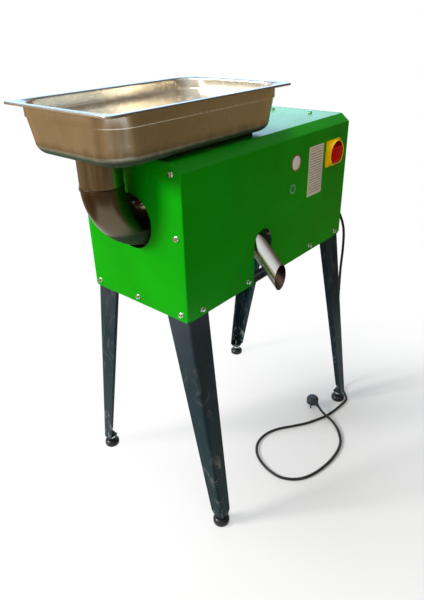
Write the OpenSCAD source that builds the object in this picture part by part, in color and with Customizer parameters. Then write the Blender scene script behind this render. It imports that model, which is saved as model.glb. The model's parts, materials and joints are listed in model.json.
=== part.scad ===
// Motor-driven tomato strainer on a splayed four-legged stand.
// X runs along the casing from the inlet end to the drive end, the front with
// the spout and the switch faces -Y, and Z is up from the floor.

/* [Casing] */
// Length of the casing along X
casing_l = 675; // [655:5:720]
// Width of the casing along Y
casing_w = 315; // [305:5:345]
// Height of the casing
casing_h = 350; // [345:5:400]
// Height of the casing's lower edge above the floor
stand_h = 595; // [480:5:720]
// Width of the sloped upper edges
slope_w = 24; // [15:1:32]
// Height of the sloped upper edges
slope_h = 20; // [12:1:28]
// Sheet thickness of the casing
sheet_t = 2; // [1.5:0.5:2.5]
// Depth of the folded edge of the end plates
rim_d = 8; // [5:1:12]
// Width of the inner flange that takes the end plate screws
flange_w = 25; // [22:1:30]
// Radius of the hole for the inlet elbow
hole_r = 63.5; // [60:0.5:68]
// Height of the elbow hole above the casing's lower edge
hole_h = 204; // [198:1:210]
// Thread diameter of the casing screws
screw_d = 6; // [5:0.5:6.5]
// Height of the screw rows above the casing's lower edge
screw_row_h = 16; // [13:1:20]

/* [Stand] */
// Leg height of the frame's steel angle
angle_w = 30; // [26:1:36]
// Thickness of the frame's steel angle
angle_t = 4; // [3:0.5:5]
// Face width of a leg at its top
leg_top_w = 66; // [58:1:74]
// Face width of a leg at its bottom
leg_foot_w = 34; // [32:1:40]
// Sheet thickness of a leg
leg_t = 4; // [3:0.5:5]
// How far a leg leans outward in Y
leg_splay = 84; // [40:2:110]
// Height of a leg's bottom plate above the floor
leg_gap = 32; // [30:1:40]
// Diameter of a levelling stud
stud_d = 12; // [10:1:12]
// Diameter of a rubber foot
pad_d = 43; // [36:1:50]
// Height of a rubber foot
pad_h = 18; // [14:1:18]

/* [Hopper] */
// Length of the pan over its rim
pan_l = 530; // [500:5:560]
// Width of the pan over its rim
pan_w = 325; // [300:5:345]
// Depth of the pan
pan_depth = 100; // [90:5:150]
// Sheet thickness of the pan
pan_t = 1.2; // [1:0.1:1.6]
// Width of the pan's flat rim
pan_rim = 12; // [10:1:16]
// Height of the rubber rests under the pan
rest_h = 9; // [6:1:14]
// Length of a rest across the casing
rest_l = 200; // [160:5:230]
// Width of a rest
rest_w = 20; // [14:1:30]
// Distance from the casing's end to the first rest
rest_in = 88; // [76:1:110]
// Distance between the rests
rest_pitch = 210; // [170:5:230]
// Distance from the pan's end to the axis of its outlet
outlet_in = 92; // [88:1:110]
// Distance from the casing's end to the axis of the outlet
outlet_off = 65.5; // [62:0.5:70]

/* [Inlet and drum] */
// Outside diameter of the outlet pipe and the elbow
pipe_d = 88.9; // [84:0.1:92]
// Wall thickness of the outlet pipe and the elbow
pipe_t = 2; // [1.5:0.5:3]
// Radius of the elbow's centre line
bend_r = 114.3; // [108:0.1:120]
// Height of the rotor axis above the casing's lower edge
axis_h = 185; // [180:1:192]
// Outer radius of the drum housing
housing_r = 110; // [106:1:112]
// Wall thickness of the drum housing
housing_t = 2; // [2:0.5:3]
// Outer radius of the sieve drum
sieve_r = 75; // [70:1:78]
// Wall thickness of the sieve drum
sieve_t = 2; // [1.5:0.5:3]
// Diameter of the holes in the sieve drum
sieve_hole_d = 6; // [4:0.5:8]
// Holes round the sieve drum
sieve_around = 16; // [8:2:20]
// Hole rings along the sieve drum
sieve_rings = 7; // [4:1:9]
// Length of the waste chamber behind the sieve drum
waste_l = 45; // [42:1:50]

/* [Spout] */
// Outside diameter of the spout
spout_d = 48.3; // [42:0.1:51]
// Wall thickness of the spout
spout_t = 1.5; // [1:0.5:2.5]
// Reach of the spout's mouth in front of the casing
spout_reach = 53.5; // [40:0.5:80]
// Position of the spout along X
spout_x = -61; // [-75:1:-55]
// Gap between the sieve drum and the housing's floor below it
floor_gap = 10.65; // [8:0.05:14]
// Width of the arched notch for the spout
notch_w = 72; // [66:1:80]
// Height of the notch's arch centre above the casing's lower edge
notch_h = 100; // [95:1:115]

/* [Rotor] */
// Radius of the hub tube
hub_r = 19; // [17:0.5:21]
// Diameter of the motor shaft in the hub
shaft_d = 19; // [16:0.5:20]
// Gap between the paddles and the sieve
paddle_gap = 1.5; // [1:0.5:3]
// Thickness of a paddle
paddle_t = 8; // [6:1:10]
// Number of paddles
paddle_n = 3; // [2:1:4]
// Pitch of the feed flight
flight_pitch = 70; // [50:1:75]

/* [Motor] */
// Outer radius of the motor's barrel
motor_r = 70; // [66:1:74]
// Length of the motor's barrel
motor_l = 162; // [160:1:180]
// Height of the cooling fins
fin_h = 8; // [6:1:9]
// Number of cooling fins round the barrel
fin_n = 32; // [24:1:40]

/* [Switch] */
// Side of the square switch plate
switch_w = 70; // [64:1:76]
// Position of the switch along X
switch_x = 252; // [240:1:260]
// Height of the switch above the casing's lower edge
switch_h = 260; // [240:1:265]
// Depth of the collar in front of the plate
collar_l = 12; // [11:0.5:14]

/* [Cord] */
// Diameter of the mains cord
cord_d = 8; // [7:0.5:9]
// Diameter of the plug's body
plug_d = 39; // [36:1:42]

/* [Signs] */
// Width of the bare instruction plate
sign_w = 71; // [60:1:80]
// Height of the bare instruction plate
sign_h = 131; // [110:1:140]
// Position of the instruction plate along X
sign_x = 169; // [150:1:172]
// Height of the instruction plate's middle above the casing's lower edge
sign_z = 229; // [200:1:240]
// Radius of the upper round sticker
sticker_r = 20.5; // [16:0.5:24]
// Radius of the lower round sticker
small_sticker_r = 13.5; // [10:0.5:16]

/* [Hidden] */
$fn = 64;

green = "#0e8a12";
dark_paint = "#14282b";
steel = "#b9b6b2";
zinc = "#c9ccc8";
rubber_black = "#17181a";
yellow = "#efc010";
red = "#b3090b";

eps = 0.01;
cut = 1;
seat_gap = 0.3;
run_gap = 0.05;
hole_gap = 0.3;

// Casing planes
hx = casing_l / 2;
hy = casing_w / 2;
z0 = stand_h;
z1 = stand_h + casing_h;
axis_z = z0 + axis_h;
slope_a = atan2(slope_w, slope_h);
seam = 0.05;
in_x = hx - sheet_t;
in_y = hy - sheet_t;

// Screws in the end plates as [y, z], in the long sides as x, on the top as [x, y]
end_screws = [
  for (s = [-1, 1]) each [
    [s * (hy - 26), z1 - 22],
    [s * (hy - 21), z0 + 195],
    [s * (hy - 19), z0 + screw_row_h]
  ],
  [0, z0 + screw_row_h]
];
side_screws = [-hx + 48, -hx + 217, hx - 173, hx - 32];
top_screws = [for (sx = [-1, 1], sy = [-1, 1]) [sx * (hx - 50), sy * 62]];
screw_hole_r = screw_d / 2 + hole_gap / 2;
screw_len = sheet_t + angle_t + 8;
slot_rows = 8;
slot_h = 6;
slot_l = 36;
slot_step_y = 52;
slot_step_z = 16;

// Stand
ridge_x = in_x - 2;
ridge_y_top = in_y;
ridge_y_foot = ridge_y_top + leg_splay;
stud_in = leg_t + 12.5;
stud_x = ridge_x - stud_in;
stud_y = ridge_y_foot - stud_in;
nut_h = 8;
nut_af = 19;
leg_bolt_xs = [ridge_x - 15, ridge_x - 38];
leg_bolt_y = ridge_y_top - 17;
leg_bolt_d = 8;

// Hopper
pan_floor_z = z1 + rest_h;
pan_top_z = pan_floor_z + pan_depth;
outlet_x = -hx - outlet_off;
pan_x0 = outlet_x - outlet_in;
pan_cx = pan_x0 + pan_l / 2;
pan_step_z = pan_top_z - 26;
pan_taper = 11;
pan_ledge = 3;
pan_edge_r = 22;
pan_corner_r = 40;
pipe_r = pipe_d / 2;
pipe_in_r = pipe_r - pipe_t;
joint_z = axis_z + bend_r;
spigot_l = 8;
spigot_gap = 0.6;

// Inlet and drum: planes along X
elbow_x = outlet_x + bend_r;
plate_t = 4;
gasket_t = 2;
cover_x = elbow_x + gasket_t;
drum_x = cover_x + plate_t;
flange_r = 65;
inlet_bolt_r = 56;
bulk_t = 6;
sieve_x1 = 2;
bulk_x = waste_l;
motor_x = bulk_x + bulk_t;
housing_in_r = housing_r - housing_t;
lip_w = 14;
lip_t = 3;
seal_r = 30;
sieve_in_r = sieve_r - sieve_t;

// The housing's floor falls to the front, and the spout leaves it there at 45 degrees
spout_r = spout_d / 2;
floor_fall = 26;
floor_front_z = axis_z - sieve_r - floor_gap - floor_fall / 2;
floor_back_z = floor_front_z + floor_fall;
function spout_axis_z(y) = floor_front_z + spout_r * sqrt(2) + 1 + (y + housing_r);
function floor_z(y) = floor_front_z + (floor_back_z - floor_front_z) * (y + housing_r) / (2 * housing_r);
chute_x0 = sieve_x1 + 4;
chute_x1 = bulk_x - lip_t - 2;
chute_w = 94;
chute_z = z0 - 60;
housing_bolt_pts = [
  for (s = [-1, 1]) each [
    [s * (housing_r + lip_w / 2), axis_z],
    [s * (housing_r + lip_w / 2) * cos(45), axis_z + (housing_r + lip_w / 2) * sin(45)],
    [s * (housing_r + lip_w / 2), floor_back_z + 10]
  ]
];

// Rotor
hub_x0 = drum_x + 22;
hub_x1 = bulk_x + 5;
shaft_x0 = bulk_x - 33;
shaft_r = shaft_d / 2;
hub_bore_x0 = shaft_x0 - 4;
hub_tube_r = hub_r - 5;
paddle_r1 = sieve_in_r - paddle_gap;
paddle_r0 = paddle_r1 - 12;
paddle_x0 = drum_x + 6;
paddle_x1 = -6;
spider_w = 14;
spider_xs = [hub_x0 + 84, paddle_x1 - 24];
flight_r = paddle_r0 - 6;
flight_t = 3;

// Motor
flange_t = 12;
motor_flange_r = 100;
motor_bolt_r = 82.5;
barrel_x0 = motor_x + flange_t;
barrel_x1 = barrel_x0 + motor_l;
stator_in_r = motor_r - 18;
core_r = stator_in_r - 0.5;
core_x0 = barrel_x0 + 28;
core_x1 = barrel_x1 - 34;
journal_r = 12;
bearing_r = 26;
bearing_w = 15;
bearing_xs = [barrel_x0 + 2, barrel_x1 - bearing_w - 2];
fan_x0 = barrel_x1 + 8;
fan_w = 24;
cover_x1 = fan_x0 + fan_w + 14;
fan_cover_r = motor_r + fin_h + 0.2;
fin_x0 = barrel_x0 + 8;
fin_x1 = barrel_x1 - 6;
box_x0 = barrel_x0 + 26;
box_x1 = barrel_x0 + 112;
box_z1 = axis_z + motor_r + 44;
cap_r = 20;
cap_a = 48;

// Switch
switch_z = z0 + switch_h;
plate_y = -hy - 5;
collar_y = plate_y - collar_l;
collar_r = switch_w / 2;
collar_t = 2;
collar_flat = collar_r - 7;
insert_t = 2;
hinge_r = 1.5;
barrel_r = 3;
hinge_rise = 15;
hinge_z = switch_z + hinge_rise;
hinge_y = collar_y + 3.7;
flap_half = sqrt(pow(collar_r - collar_t, 2) - pow(hinge_rise, 2)) - 2.2;
flap_front = hinge_y - 2.5;
button_r = 8;
button_xs = [switch_x - 10, switch_x + 10];
button_z = switch_z - 8;
button_l = 21;
button_y = plate_y - 5.2;
block_y = -hy + 20;
block_depth = 20;
block_z = switch_z - 26;

// Cord: route points from the gland to the plug
gland_y = -110;
gland_z = z0 + 73;
gland_l = 24.5;
gland_in = 12;
gland_r = 10;
cord_route = [
  [362, -110, 668], [378, -114, 662], [390, -128, 636], [393, -145, 590], [389, -152, 530],
  [387, -152, 440], [386, -157, 310], [384, -165, 160], [382, -178, 70], [374, -198, 20],
  [354, -228, 4], [324, -251, 4], [272, -250, 4], [212, -240, 4], [168, -222, 4],
  [133, -204, 4], [96, -178, 4], [57, -150, 4], [16, -134, 4], [-24, -134, 4],
  [-56, -148, 4], [-82, -176, 4], [-100, -222, 4], [-100, -268, 4], [-74, -308, 4],
  [-30, -332, 4], [30, -344, 4], [84, -344, 4], [130, -333, 4], [164, -310, 5],
  [188, -282, 6], [198, -258, 9], [200, -240, 14], [204, -222, 20], [210, -205, 27]
];
cord_sides = 8;
cord_steps = 2;
wire_r = 4;
wire_y = block_y + block_depth / 2;
box_wire_z = box_z1 - 20;
supply_route = [
  [hx - gland_in, gland_y, gland_z], [hx - gland_in - 20, gland_y - 2, gland_z + 8],
  [switch_x + 34, gland_y - 6, gland_z + 52], [switch_x + 18, wire_y + 5, block_z - 60],
  [switch_x + 10, wire_y, block_z - 34], [switch_x + 10, wire_y, block_z - 17],
  [switch_x + 10, wire_y, block_z]
];
motor_route = [
  [switch_x - 10, wire_y, block_z], [switch_x - 10, wire_y, block_z - 16],
  [switch_x - 13, wire_y + 5, block_z - 31], [switch_x - 21, wire_y + 19, block_z - 30],
  [switch_x - 33, wire_y + 37, block_z - 7], [switch_x - 47, wire_y + 61, block_z + 23],
  [box_x1 + 17, -34, box_wire_z],
  [box_x1 + 12, -26, box_wire_z], [box_x1 + 6, -26, box_wire_z], [box_x1, -26, box_wire_z]
];
plug_c = [223, -177, 31];
plug_h = 24;
plug_r = plug_d / 2;
pin_gap = 19;
pin_r = 2.4;

// The part is drawn about the casing's middle, then moved so that the middle of
// the box round the whole part, without its cord, stands over the origin
mid_x = (pan_x0 + hx + gland_l) / 2;

// ---------------------------------------------------------------- helpers

module centred() translate([-mid_x, 0, 0]) children();

// A profile in (y, z) drawn out along X, and one in (x, z) along Y
module along_x(x0, x1) translate([x0, 0, 0]) rotate([90, 0, 90]) linear_extrude(x1 - x0) children();
module along_y(y0, y1) translate([0, y1, 0]) rotate([90, 0, 0]) linear_extrude(y1 - y0) children();
// Round bars along X about the rotor axis, and along each direction at a point
module axis_rod(x0, x1, r) translate([x0, 0, axis_z]) rotate([0, 90, 0]) cylinder(h = x1 - x0, r = r);
module rod_x(x0, x1, y, z, r) translate([x0, y, z]) rotate([0, 90, 0]) cylinder(h = x1 - x0, r = r);
module rod_y(x, y0, y1, z, r) translate([x, y1, z]) rotate([90, 0, 0]) cylinder(h = y1 - y0, r = r);
module rod_z(x, y, z_a, z_b, r) translate([x, y, z_a]) cylinder(h = z_b - z_a, r = r);
module box(a, b) translate(a) cube([b[0] - a[0], b[1] - a[1], b[2] - a[2]]);

// Casing outline in (y, z), set in by d on its sides, slopes and top
function outline(d, bottom) = [
  [-(hy - d), bottom],
  [hy - d, bottom],
  [hy - d, z1 - slope_h - d * tan(slope_a / 2)],
  [hy - slope_w - d * tan(45 - slope_a / 2), z1 - d],
  [-(hy - slope_w - d * tan(45 - slope_a / 2)), z1 - d],
  [-(hy - d), z1 - slope_h - d * tan(slope_a / 2)]
];

// Sheet that follows the outline, open at the bottom
module wrap(x_a, x_b, d_out, d_in, bottom) difference() {
  along_x(x_a, x_b) polygon(outline(d_out, bottom));
  along_x(x_a - cut, x_b + cut) polygon(outline(d_in, bottom - cut));
}

// Rounded rectangle as points, centred
function arc(cx, cy, r, a0, n = 8) = [
  for (i = [0 : n]) [cx + r * cos(a0 + 90 * i / n), cy + r * sin(a0 + 90 * i / n)]
];
function round_rect(w, h, r) = concat(
  arc(w / 2 - r, h / 2 - r, r, 0), arc(-w / 2 + r, h / 2 - r, r, 90),
  arc(-w / 2 + r, -h / 2 + r, r, 180), arc(w / 2 - r, -h / 2 + r, r, 270));

// Hexagon screw with a flanged head: the head sits on z = 0, the shank goes down
module hex_screw(d, len) {
  cylinder(h = 1.2, r = d * 1.05);
  cylinder(h = 1.2 + d * 0.7, r = d * 0.88, $fn = 6);
  translate([0, 0, -len]) cylinder(h = len + eps, r = d / 2);
}

// Swept tube: rings of n points square to the route, joined into one polyhedron
function catmull(p, q, r, s, t) = 0.5 * (2 * q + (r - p) * t + (2 * p - 5 * q + 4 * r - s) * t * t
  + (3 * q - p - 3 * r + s) * t * t * t);
function smooth_route(p, steps) = [
  for (i = [0 : len(p) - 2], k = [0 : steps - 1])
    catmull(p[max(i - 1, 0)], p[i], p[i + 1], p[min(i + 2, len(p) - 1)], k / steps),
  p[len(p) - 1]
];
function unit(v) = v / norm(v);
function tangent(p, i) = unit(p[min(i + 1, len(p) - 1)] - p[max(i - 1, 0)]);
function side_of(t) = abs(t[2]) < 0.9 ? unit(cross(t, [0, 0, 1])) : unit(cross(t, [0.3, 1, 0]));
// The side vector is carried along the route, so that the rings never twist
function carried(p, i, last) = unit(last - (last * tangent(p, i)) * tangent(p, i));
function sides(p, i = 0, out = []) = i == len(p) ? out
  : sides(p, i + 1, concat(out, [i == 0 ? side_of(tangent(p, 0)) : carried(p, i, out[i - 1])]));
module swept_tube(route, r, n, steps, start_dir) {
  p = smooth_route(route, steps);
  u = sides(p);
  m = len(p);
  points = [
    for (i = [0 : m - 1]) let (
      t = i == 0 ? start_dir : tangent(p, i),
      a = unit(u[i] - (u[i] * t) * t),
      b = cross(t, a)
    ) for (k = [0 : n - 1]) p[i] + r * (cos(360 * k / n) * a + sin(360 * k / n) * b)
  ];
  faces = concat(
    [[for (k = [0 : n - 1]) k]],
    [for (i = [0 : m - 2], k = [0 : n - 1])
      [i * n + k, (i + 1) * n + k, (i + 1) * n + (k + 1) % n, i * n + (k + 1) % n]],
    [[for (k = [n - 1 : -1 : 0]) (m - 1) * n + k]]
  );
  polyhedron(points, faces, convexity = 10);
}

// ---------------------------------------------------------------- casing

module screw_holes_end(x_a, x_b) for (p = end_screws) rod_x(x_a, x_b, p[0], p[1], screw_hole_r);
module screw_holes_side() for (x = side_screws)
  rod_y(x, -hy - cut, hy + cut, z0 + screw_row_h, screw_hole_r);

// Hairline of the weld along the upper front fold, where the front sheet meets the roof sheet
module fold_seam() translate([0, -hy, z1 - slope_h]) rotate([-slope_a / 2, 0, 0])
  box([-hx, -cut, -seam / 2], [hx, (2 * sheet_t + flange_w) / cos(slope_a / 2) + cut, seam / 2]);

module body_shell() centred() color(green) difference() {
  union() {
    wrap(-hx + rim_d, hx - rim_d, 0, sheet_t, z0);
    for (s = [0, 1]) mirror([s, 0, 0]) {
      wrap(hx - rim_d - 14, in_x, sheet_t, 2 * sheet_t, z0 + angle_w + 1);
      wrap(in_x - sheet_t, in_x, 2 * sheet_t - eps, 2 * sheet_t + flange_w, z0 + angle_w + 1);
    }
  }
  rod_y(spout_x, -hy - cut, -in_y + cut, z0 + notch_h, notch_w / 2);
  box([spout_x - notch_w / 2, -hy - cut, z0 - cut], [spout_x + notch_w / 2, -in_y + cut, z0 + notch_h]);
  box([switch_x - 27, -hy - cut, switch_z - 27], [switch_x + 27, -in_y + cut, switch_z + 27]);
  screw_holes_end(-hx - cut, -hx + rim_d + 20);
  screw_holes_end(hx - rim_d - 20, hx + cut);
  screw_holes_side();
  for (p = top_screws) rod_z(p[0], p[1], z1 - sheet_t - cut, z1 + cut, screw_hole_r);
  fold_seam();
}

// End plate at +X: flat sheet with a folded rim and rounded lower corners
module end_plate() difference() {
  union() {
    along_x(in_x, hx) polygon(outline(0, z0));
    wrap(hx - rim_d, in_x + eps, 0, sheet_t, z0);
  }
  for (s = [0, 1]) mirror([0, s, 0]) difference() {
    box([hx - rim_d - cut, hy - 7, z0 - cut], [hx + cut, hy + cut, z0 + 7]);
    rod_x(hx - rim_d - 2 * cut, hx + 2 * cut, hy - 7, z0 + 7, 7);
  }
  screw_holes_end(hx - rim_d - cut, hx + cut);
}

module inlet_end_plate() centred() color(green) difference() {
  mirror([1, 0, 0]) end_plate();
  rod_x(-hx - cut, -in_x + cut, 0, z0 + hole_h, hole_r);
}

module drive_end_plate() centred() color(green) difference() {
  end_plate();
  rod_x(in_x - cut, hx + cut, gland_y, gland_z, gland_r + hole_gap / 2);
  for (row = [0 : slot_rows - 1], col = [-1 : 1])
    cooling_slot(col * slot_step_y, axis_z + (row - (slot_rows - 1) / 2) * slot_step_z);
}

// Round-ended slot in front of the motor's fan
module cooling_slot(y, z) {
  box([in_x - cut, y - slot_l / 2, z - slot_h / 2], [hx + cut, y + slot_l / 2, z + slot_h / 2]);
  for (s = [-1, 1]) rod_x(in_x - cut, hx + cut, y + s * slot_l / 2, z, slot_h / 2);
}

// Steel angle ring with two flat-topped cross members
module cross_member(xc) difference() {
  box([xc - 20, -in_y + angle_t, z0], [xc + 20, in_y - angle_t, z0 + angle_w]);
  box([xc - 20 + angle_t, -in_y, z0 - cut], [xc + 20 + cut, in_y, z0 + angle_w - angle_t]);
}
inlet_member_x = cover_x + 21;
drive_member_x = bulk_x + 20;

module base_frame() centred() color(dark_paint) difference() {
  union() {
    difference() {
      box([-in_x, -in_y, z0], [in_x, in_y, z0 + angle_w]);
      box([-in_x + angle_t, -in_y + angle_t, z0 + angle_t],
          [in_x - angle_t, in_y - angle_t, z0 + angle_w + cut]);
      box([-in_x + angle_w, -in_y + angle_w, z0 - cut], [in_x - angle_w, in_y - angle_w, z0 + angle_w]);
    }
    difference() {
      union() {
        cross_member(inlet_member_x);
        cross_member(drive_member_x);
      }
      for (s = [-1, 1])
        box([-in_x, s > 0 ? in_y - angle_w : -in_y, z0 - cut],
            [in_x, s > 0 ? in_y : -in_y + angle_w, z0 + angle_t]);
    }
  }
  screw_holes_end(-hx - cut, -in_x + angle_t + cut);
  screw_holes_end(in_x - angle_t - cut, hx + cut);
  for (s = [0, 1]) mirror([0, s, 0])
    for (x = side_screws) rod_y(x, in_y - angle_t - cut, hy + cut, z0 + screw_row_h, screw_hole_r);
  for (sx = [-1, 1], sy = [-1, 1], x = leg_bolt_xs)
    rod_z(sx * x, sy * leg_bolt_y, z0 - cut, z0 + angle_t + cut, leg_bolt_d / 2 + hole_gap / 2);
}

module top_stiffeners() centred() color(dark_paint) for (s = [0, 1]) mirror([s, 0, 0]) difference() {
  box([hx - 62, -hy + 36, z1 - sheet_t - 25], [hx - 37, hy - 36, z1 - sheet_t]);
  box([hx - 62 + 3, -hy + 35, z1 - sheet_t - 26], [hx - 36, hy - 35, z1 - sheet_t - 3]);
  for (p = top_screws) rod_z(p[0], p[1], z1 - sheet_t - 4, z1, screw_hole_r);
}

// ---------------------------------------------------------------- stand

// Leg at the +X +Y corner: two tapered faces, a foot plate and a top plate
module leg_xy() difference() {
  union() {
    along_x(ridge_x - leg_t, ridge_x) polygon([
      [ridge_y_top, z0], [ridge_y_foot, leg_gap], [ridge_y_foot - leg_foot_w + 7, leg_gap],
      [ridge_y_foot - leg_foot_w, leg_gap + 10], [ridge_y_top - leg_top_w, z0]
    ]);
    intersection() {
      along_x(ridge_x - leg_top_w, ridge_x) polygon([
        [ridge_y_top, z0], [ridge_y_foot, leg_gap],
        [ridge_y_foot - leg_t, leg_gap], [ridge_y_top - leg_t, z0]
      ]);
      along_y(0, ridge_y_foot + 1) polygon([
        [ridge_x, z0], [ridge_x, leg_gap], [ridge_x - leg_foot_w + 7, leg_gap],
        [ridge_x - leg_foot_w, leg_gap + 10], [ridge_x - leg_top_w, z0]
      ]);
    }
    box([ridge_x - 30, ridge_y_foot - 30, leg_gap], [ridge_x - 2, ridge_y_foot - 2, leg_gap + leg_t]);
    box([ridge_x - 60, ridge_y_top - 30, z0 - leg_t], [ridge_x - 2, ridge_y_top - 2, z0]);
  }
  rod_z(stud_x, stud_y, leg_gap - cut, leg_gap + leg_t + cut, stud_d / 2 + 2 * run_gap);
  for (x = leg_bolt_xs) rod_z(x, leg_bolt_y, z0 - leg_t - cut, z0 + cut, leg_bolt_d / 2 + hole_gap / 2);
}
module leg_front_inlet() centred() color(dark_paint) rotate([0, 0, 180]) leg_xy();
module leg_front_drive() centred() color(dark_paint) mirror([0, 1, 0]) leg_xy();
module leg_back_inlet() centred() color(dark_paint) mirror([1, 0, 0]) leg_xy();
module leg_back_drive() centred() color(dark_paint) leg_xy();

// Rubber foot on its levelling stud
module foot(sx, sy) translate([sx * stud_x, sy * stud_y, 0]) {
  color(rubber_black) rotate_extrude() polygon([
    [0, 0], [pad_d / 2 - 3, 0], [pad_d / 2, 3], [pad_d / 2, pad_h - 6], [pad_d / 2 - 6, pad_h], [0, pad_h]
  ]);
  color(zinc) translate([0, 0, pad_h - eps]) cylinder(h = leg_gap + 28 - pad_h, r = stud_d / 2);
}
module foot_front_inlet() centred() foot(-1, -1);
module foot_front_drive() centred() foot(1, -1);
module foot_back_inlet() centred() foot(-1, 1);
module foot_back_drive() centred() foot(1, 1);

module foot_nuts() centred() color(zinc) for (sx = [-1, 1], sy = [-1, 1])
  translate([sx * stud_x, sy * stud_y, leg_gap - nut_h]) difference() {
    cylinder(h = nut_h, r = nut_af / sqrt(3), $fn = 6);
    translate([0, 0, -cut]) cylinder(h = nut_h + 2 * cut, r = stud_d / 2 + run_gap);
  }

// A bolt with its nut below, through the frame and the leg's top plate
module leg_bolts() centred() color(zinc) for (sx = [-1, 1], sy = [-1, 1], x = leg_bolt_xs)
  translate([sx * x, sy * leg_bolt_y, z0 + angle_t]) {
    cylinder(h = 5.3, r = 13 / sqrt(3), $fn = 6);
    translate([0, 0, -angle_t - leg_t - 9]) cylinder(h = angle_t + leg_t + 9 + eps, r = leg_bolt_d / 2);
    translate([0, 0, -angle_t - leg_t - 6.5]) cylinder(h = 6.5, r = 13 / sqrt(3), $fn = 6);
  }

module casing_screws() centred() color(zinc) {
  for (p = end_screws) {
    translate([-hx, p[0], p[1]]) rotate([0, -90, 0]) hex_screw(screw_d, screw_len);
    translate([hx, p[0], p[1]]) rotate([0, 90, 0]) hex_screw(screw_d, screw_len);
  }
  for (x = side_screws) {
    translate([x, -hy, z0 + screw_row_h]) rotate([90, 0, 0]) hex_screw(screw_d, screw_len);
    translate([x, hy, z0 + screw_row_h]) rotate([-90, 0, 0]) hex_screw(screw_d, screw_len);
  }
  for (p = top_screws) translate([p[0], p[1], z1]) hex_screw(screw_d, screw_len);
}

// ---------------------------------------------------------------- hopper

// Solid of the pan's bowl: an upright upper band and a tapering lower part
module pan_bowl(d, top) translate([pan_cx, 0, 0]) {
  w = pan_l - 2 * pan_rim - 2 * d;
  h = pan_w - 2 * pan_rim - 2 * d;
  band_z = pan_step_z - (d > 0 ? 0 : pan_t);
  corner_x = w / 2 - pan_taper - pan_corner_r;
  corner_y = h / 2 - pan_taper - pan_corner_r;
  translate([0, 0, band_z]) linear_extrude(top - band_z) polygon(round_rect(w, h, pan_corner_r - d));
  hull() {
    translate([0, 0, pan_step_z - 1]) linear_extrude(1)
      polygon(round_rect(w - 2 * pan_ledge, h - 2 * pan_ledge, pan_corner_r - pan_ledge - d));
    for (sx = [-1, 1], sy = [-1, 1])
      translate([sx * corner_x, sy * corner_y, pan_floor_z + pan_edge_r])
        rotate_extrude($fn = 32) translate([pan_corner_r - pan_edge_r, 0]) intersection() {
          circle(r = pan_edge_r - d, $fn = 32);
          translate([0, -pan_edge_r]) square([pan_edge_r, 2 * pan_edge_r]);
        }
  }
}

module hopper_pan() centred() color(steel) difference() {
  union() {
    pan_bowl(0, pan_top_z);
    translate([pan_cx, 0, pan_top_z - pan_t]) linear_extrude(pan_t) polygon(round_rect(pan_l, pan_w, 14));
    translate([pan_cx, 0, pan_top_z - 4.5]) difference() {
      linear_extrude(4.5) polygon(round_rect(pan_l, pan_w, 14));
      translate([0, 0, -cut]) linear_extrude(4.5 + 2 * cut)
        polygon(round_rect(pan_l - 2 * pan_t, pan_w - 2 * pan_t, 14 - pan_t));
    }
  }
  pan_bowl(pan_t, pan_top_z + cut);
  rod_z(outlet_x, 0, pan_floor_z - cut, pan_floor_z + pan_t + cut, pipe_in_r);
}

module hopper_pipe() centred() color(steel) difference() {
  union() {
    rod_z(outlet_x, 0, joint_z, pan_floor_z, pipe_r);
    rod_z(outlet_x, 0, joint_z - spigot_l, joint_z + eps, pipe_in_r - spigot_gap);
  }
  rod_z(outlet_x, 0, joint_z - spigot_l - cut, joint_z + 15, pipe_in_r - spigot_gap - pipe_t);
  rod_z(outlet_x, 0, joint_z + 15 - eps, pan_floor_z + cut, pipe_in_r);
}

module pan_rests() centred() color(rubber_black) for (x = [0, rest_pitch])
  translate([-hx + rest_in + x, 0, z1]) linear_extrude(rest_h) polygon(round_rect(rest_w, rest_l, 5));

// ---------------------------------------------------------------- inlet and drum

module bend(r, a0, a1) translate([elbow_x, 0, joint_z]) rotate([90, 0, 0]) rotate([0, 0, a0])
  rotate_extrude(angle = a1 - a0) translate([bend_r, 0]) circle(r = r);

module inlet_elbow() centred() color(steel) difference() {
  union() {
    bend(pipe_r, 180, 270);
    rod_z(outlet_x, 0, joint_z - 6, joint_z, pipe_r + 1.6);
    axis_rod(elbow_x - plate_t, elbow_x, flange_r);
  }
  bend(pipe_in_r, 179, 271);
  inlet_bolt_holes(elbow_x - plate_t - cut, elbow_x + cut);
}
module inlet_bolt_holes(x_a, x_b) for (a = [45 : 90 : 315])
  rod_x(x_a, x_b, inlet_bolt_r * cos(a), axis_z + inlet_bolt_r * sin(a), screw_hole_r);

module inlet_gasket() centred() color("#8a3a2a") difference() {
  axis_rod(elbow_x, cover_x, flange_r);
  axis_rod(elbow_x - cut, cover_x + cut, pipe_in_r);
  inlet_bolt_holes(elbow_x - cut, cover_x + cut);
}

// Outline of the housing's flanges in (y, z)
module housing_solid(x_a, x_b, grow) {
  intersection() {
    axis_rod(x_a, x_b, housing_r + grow);
    box([x_a - cut, -housing_r - grow - cut, axis_z],
        [x_b + cut, housing_r + grow + cut, axis_z + housing_r + grow + cut]);
  }
  along_x(x_a, x_b) polygon([
    [-housing_r - grow, axis_z + eps], [-housing_r - grow, floor_front_z - grow],
    [housing_r + grow, floor_back_z - grow], [housing_r + grow, axis_z + eps]
  ]);
}
module housing_bolt_holes(x_a, x_b) for (p = housing_bolt_pts) rod_x(x_a, x_b, p[0], p[1], screw_hole_r);

// Upright plate with a foot that is bent over its cross member
module upright(x_a, t, half_w, foot_dir) {
  along_x(x_a, x_a + t) polygon([
    [-half_w, z0 + angle_w], [half_w, z0 + angle_w], [half_w, axis_z], [-half_w, axis_z]
  ]);
  box([foot_dir > 0 ? x_a : x_a + t - 34, -half_w, z0 + angle_w],
      [foot_dir > 0 ? x_a + 34 : x_a + t, half_w, z0 + angle_w + t]);
}

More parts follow.
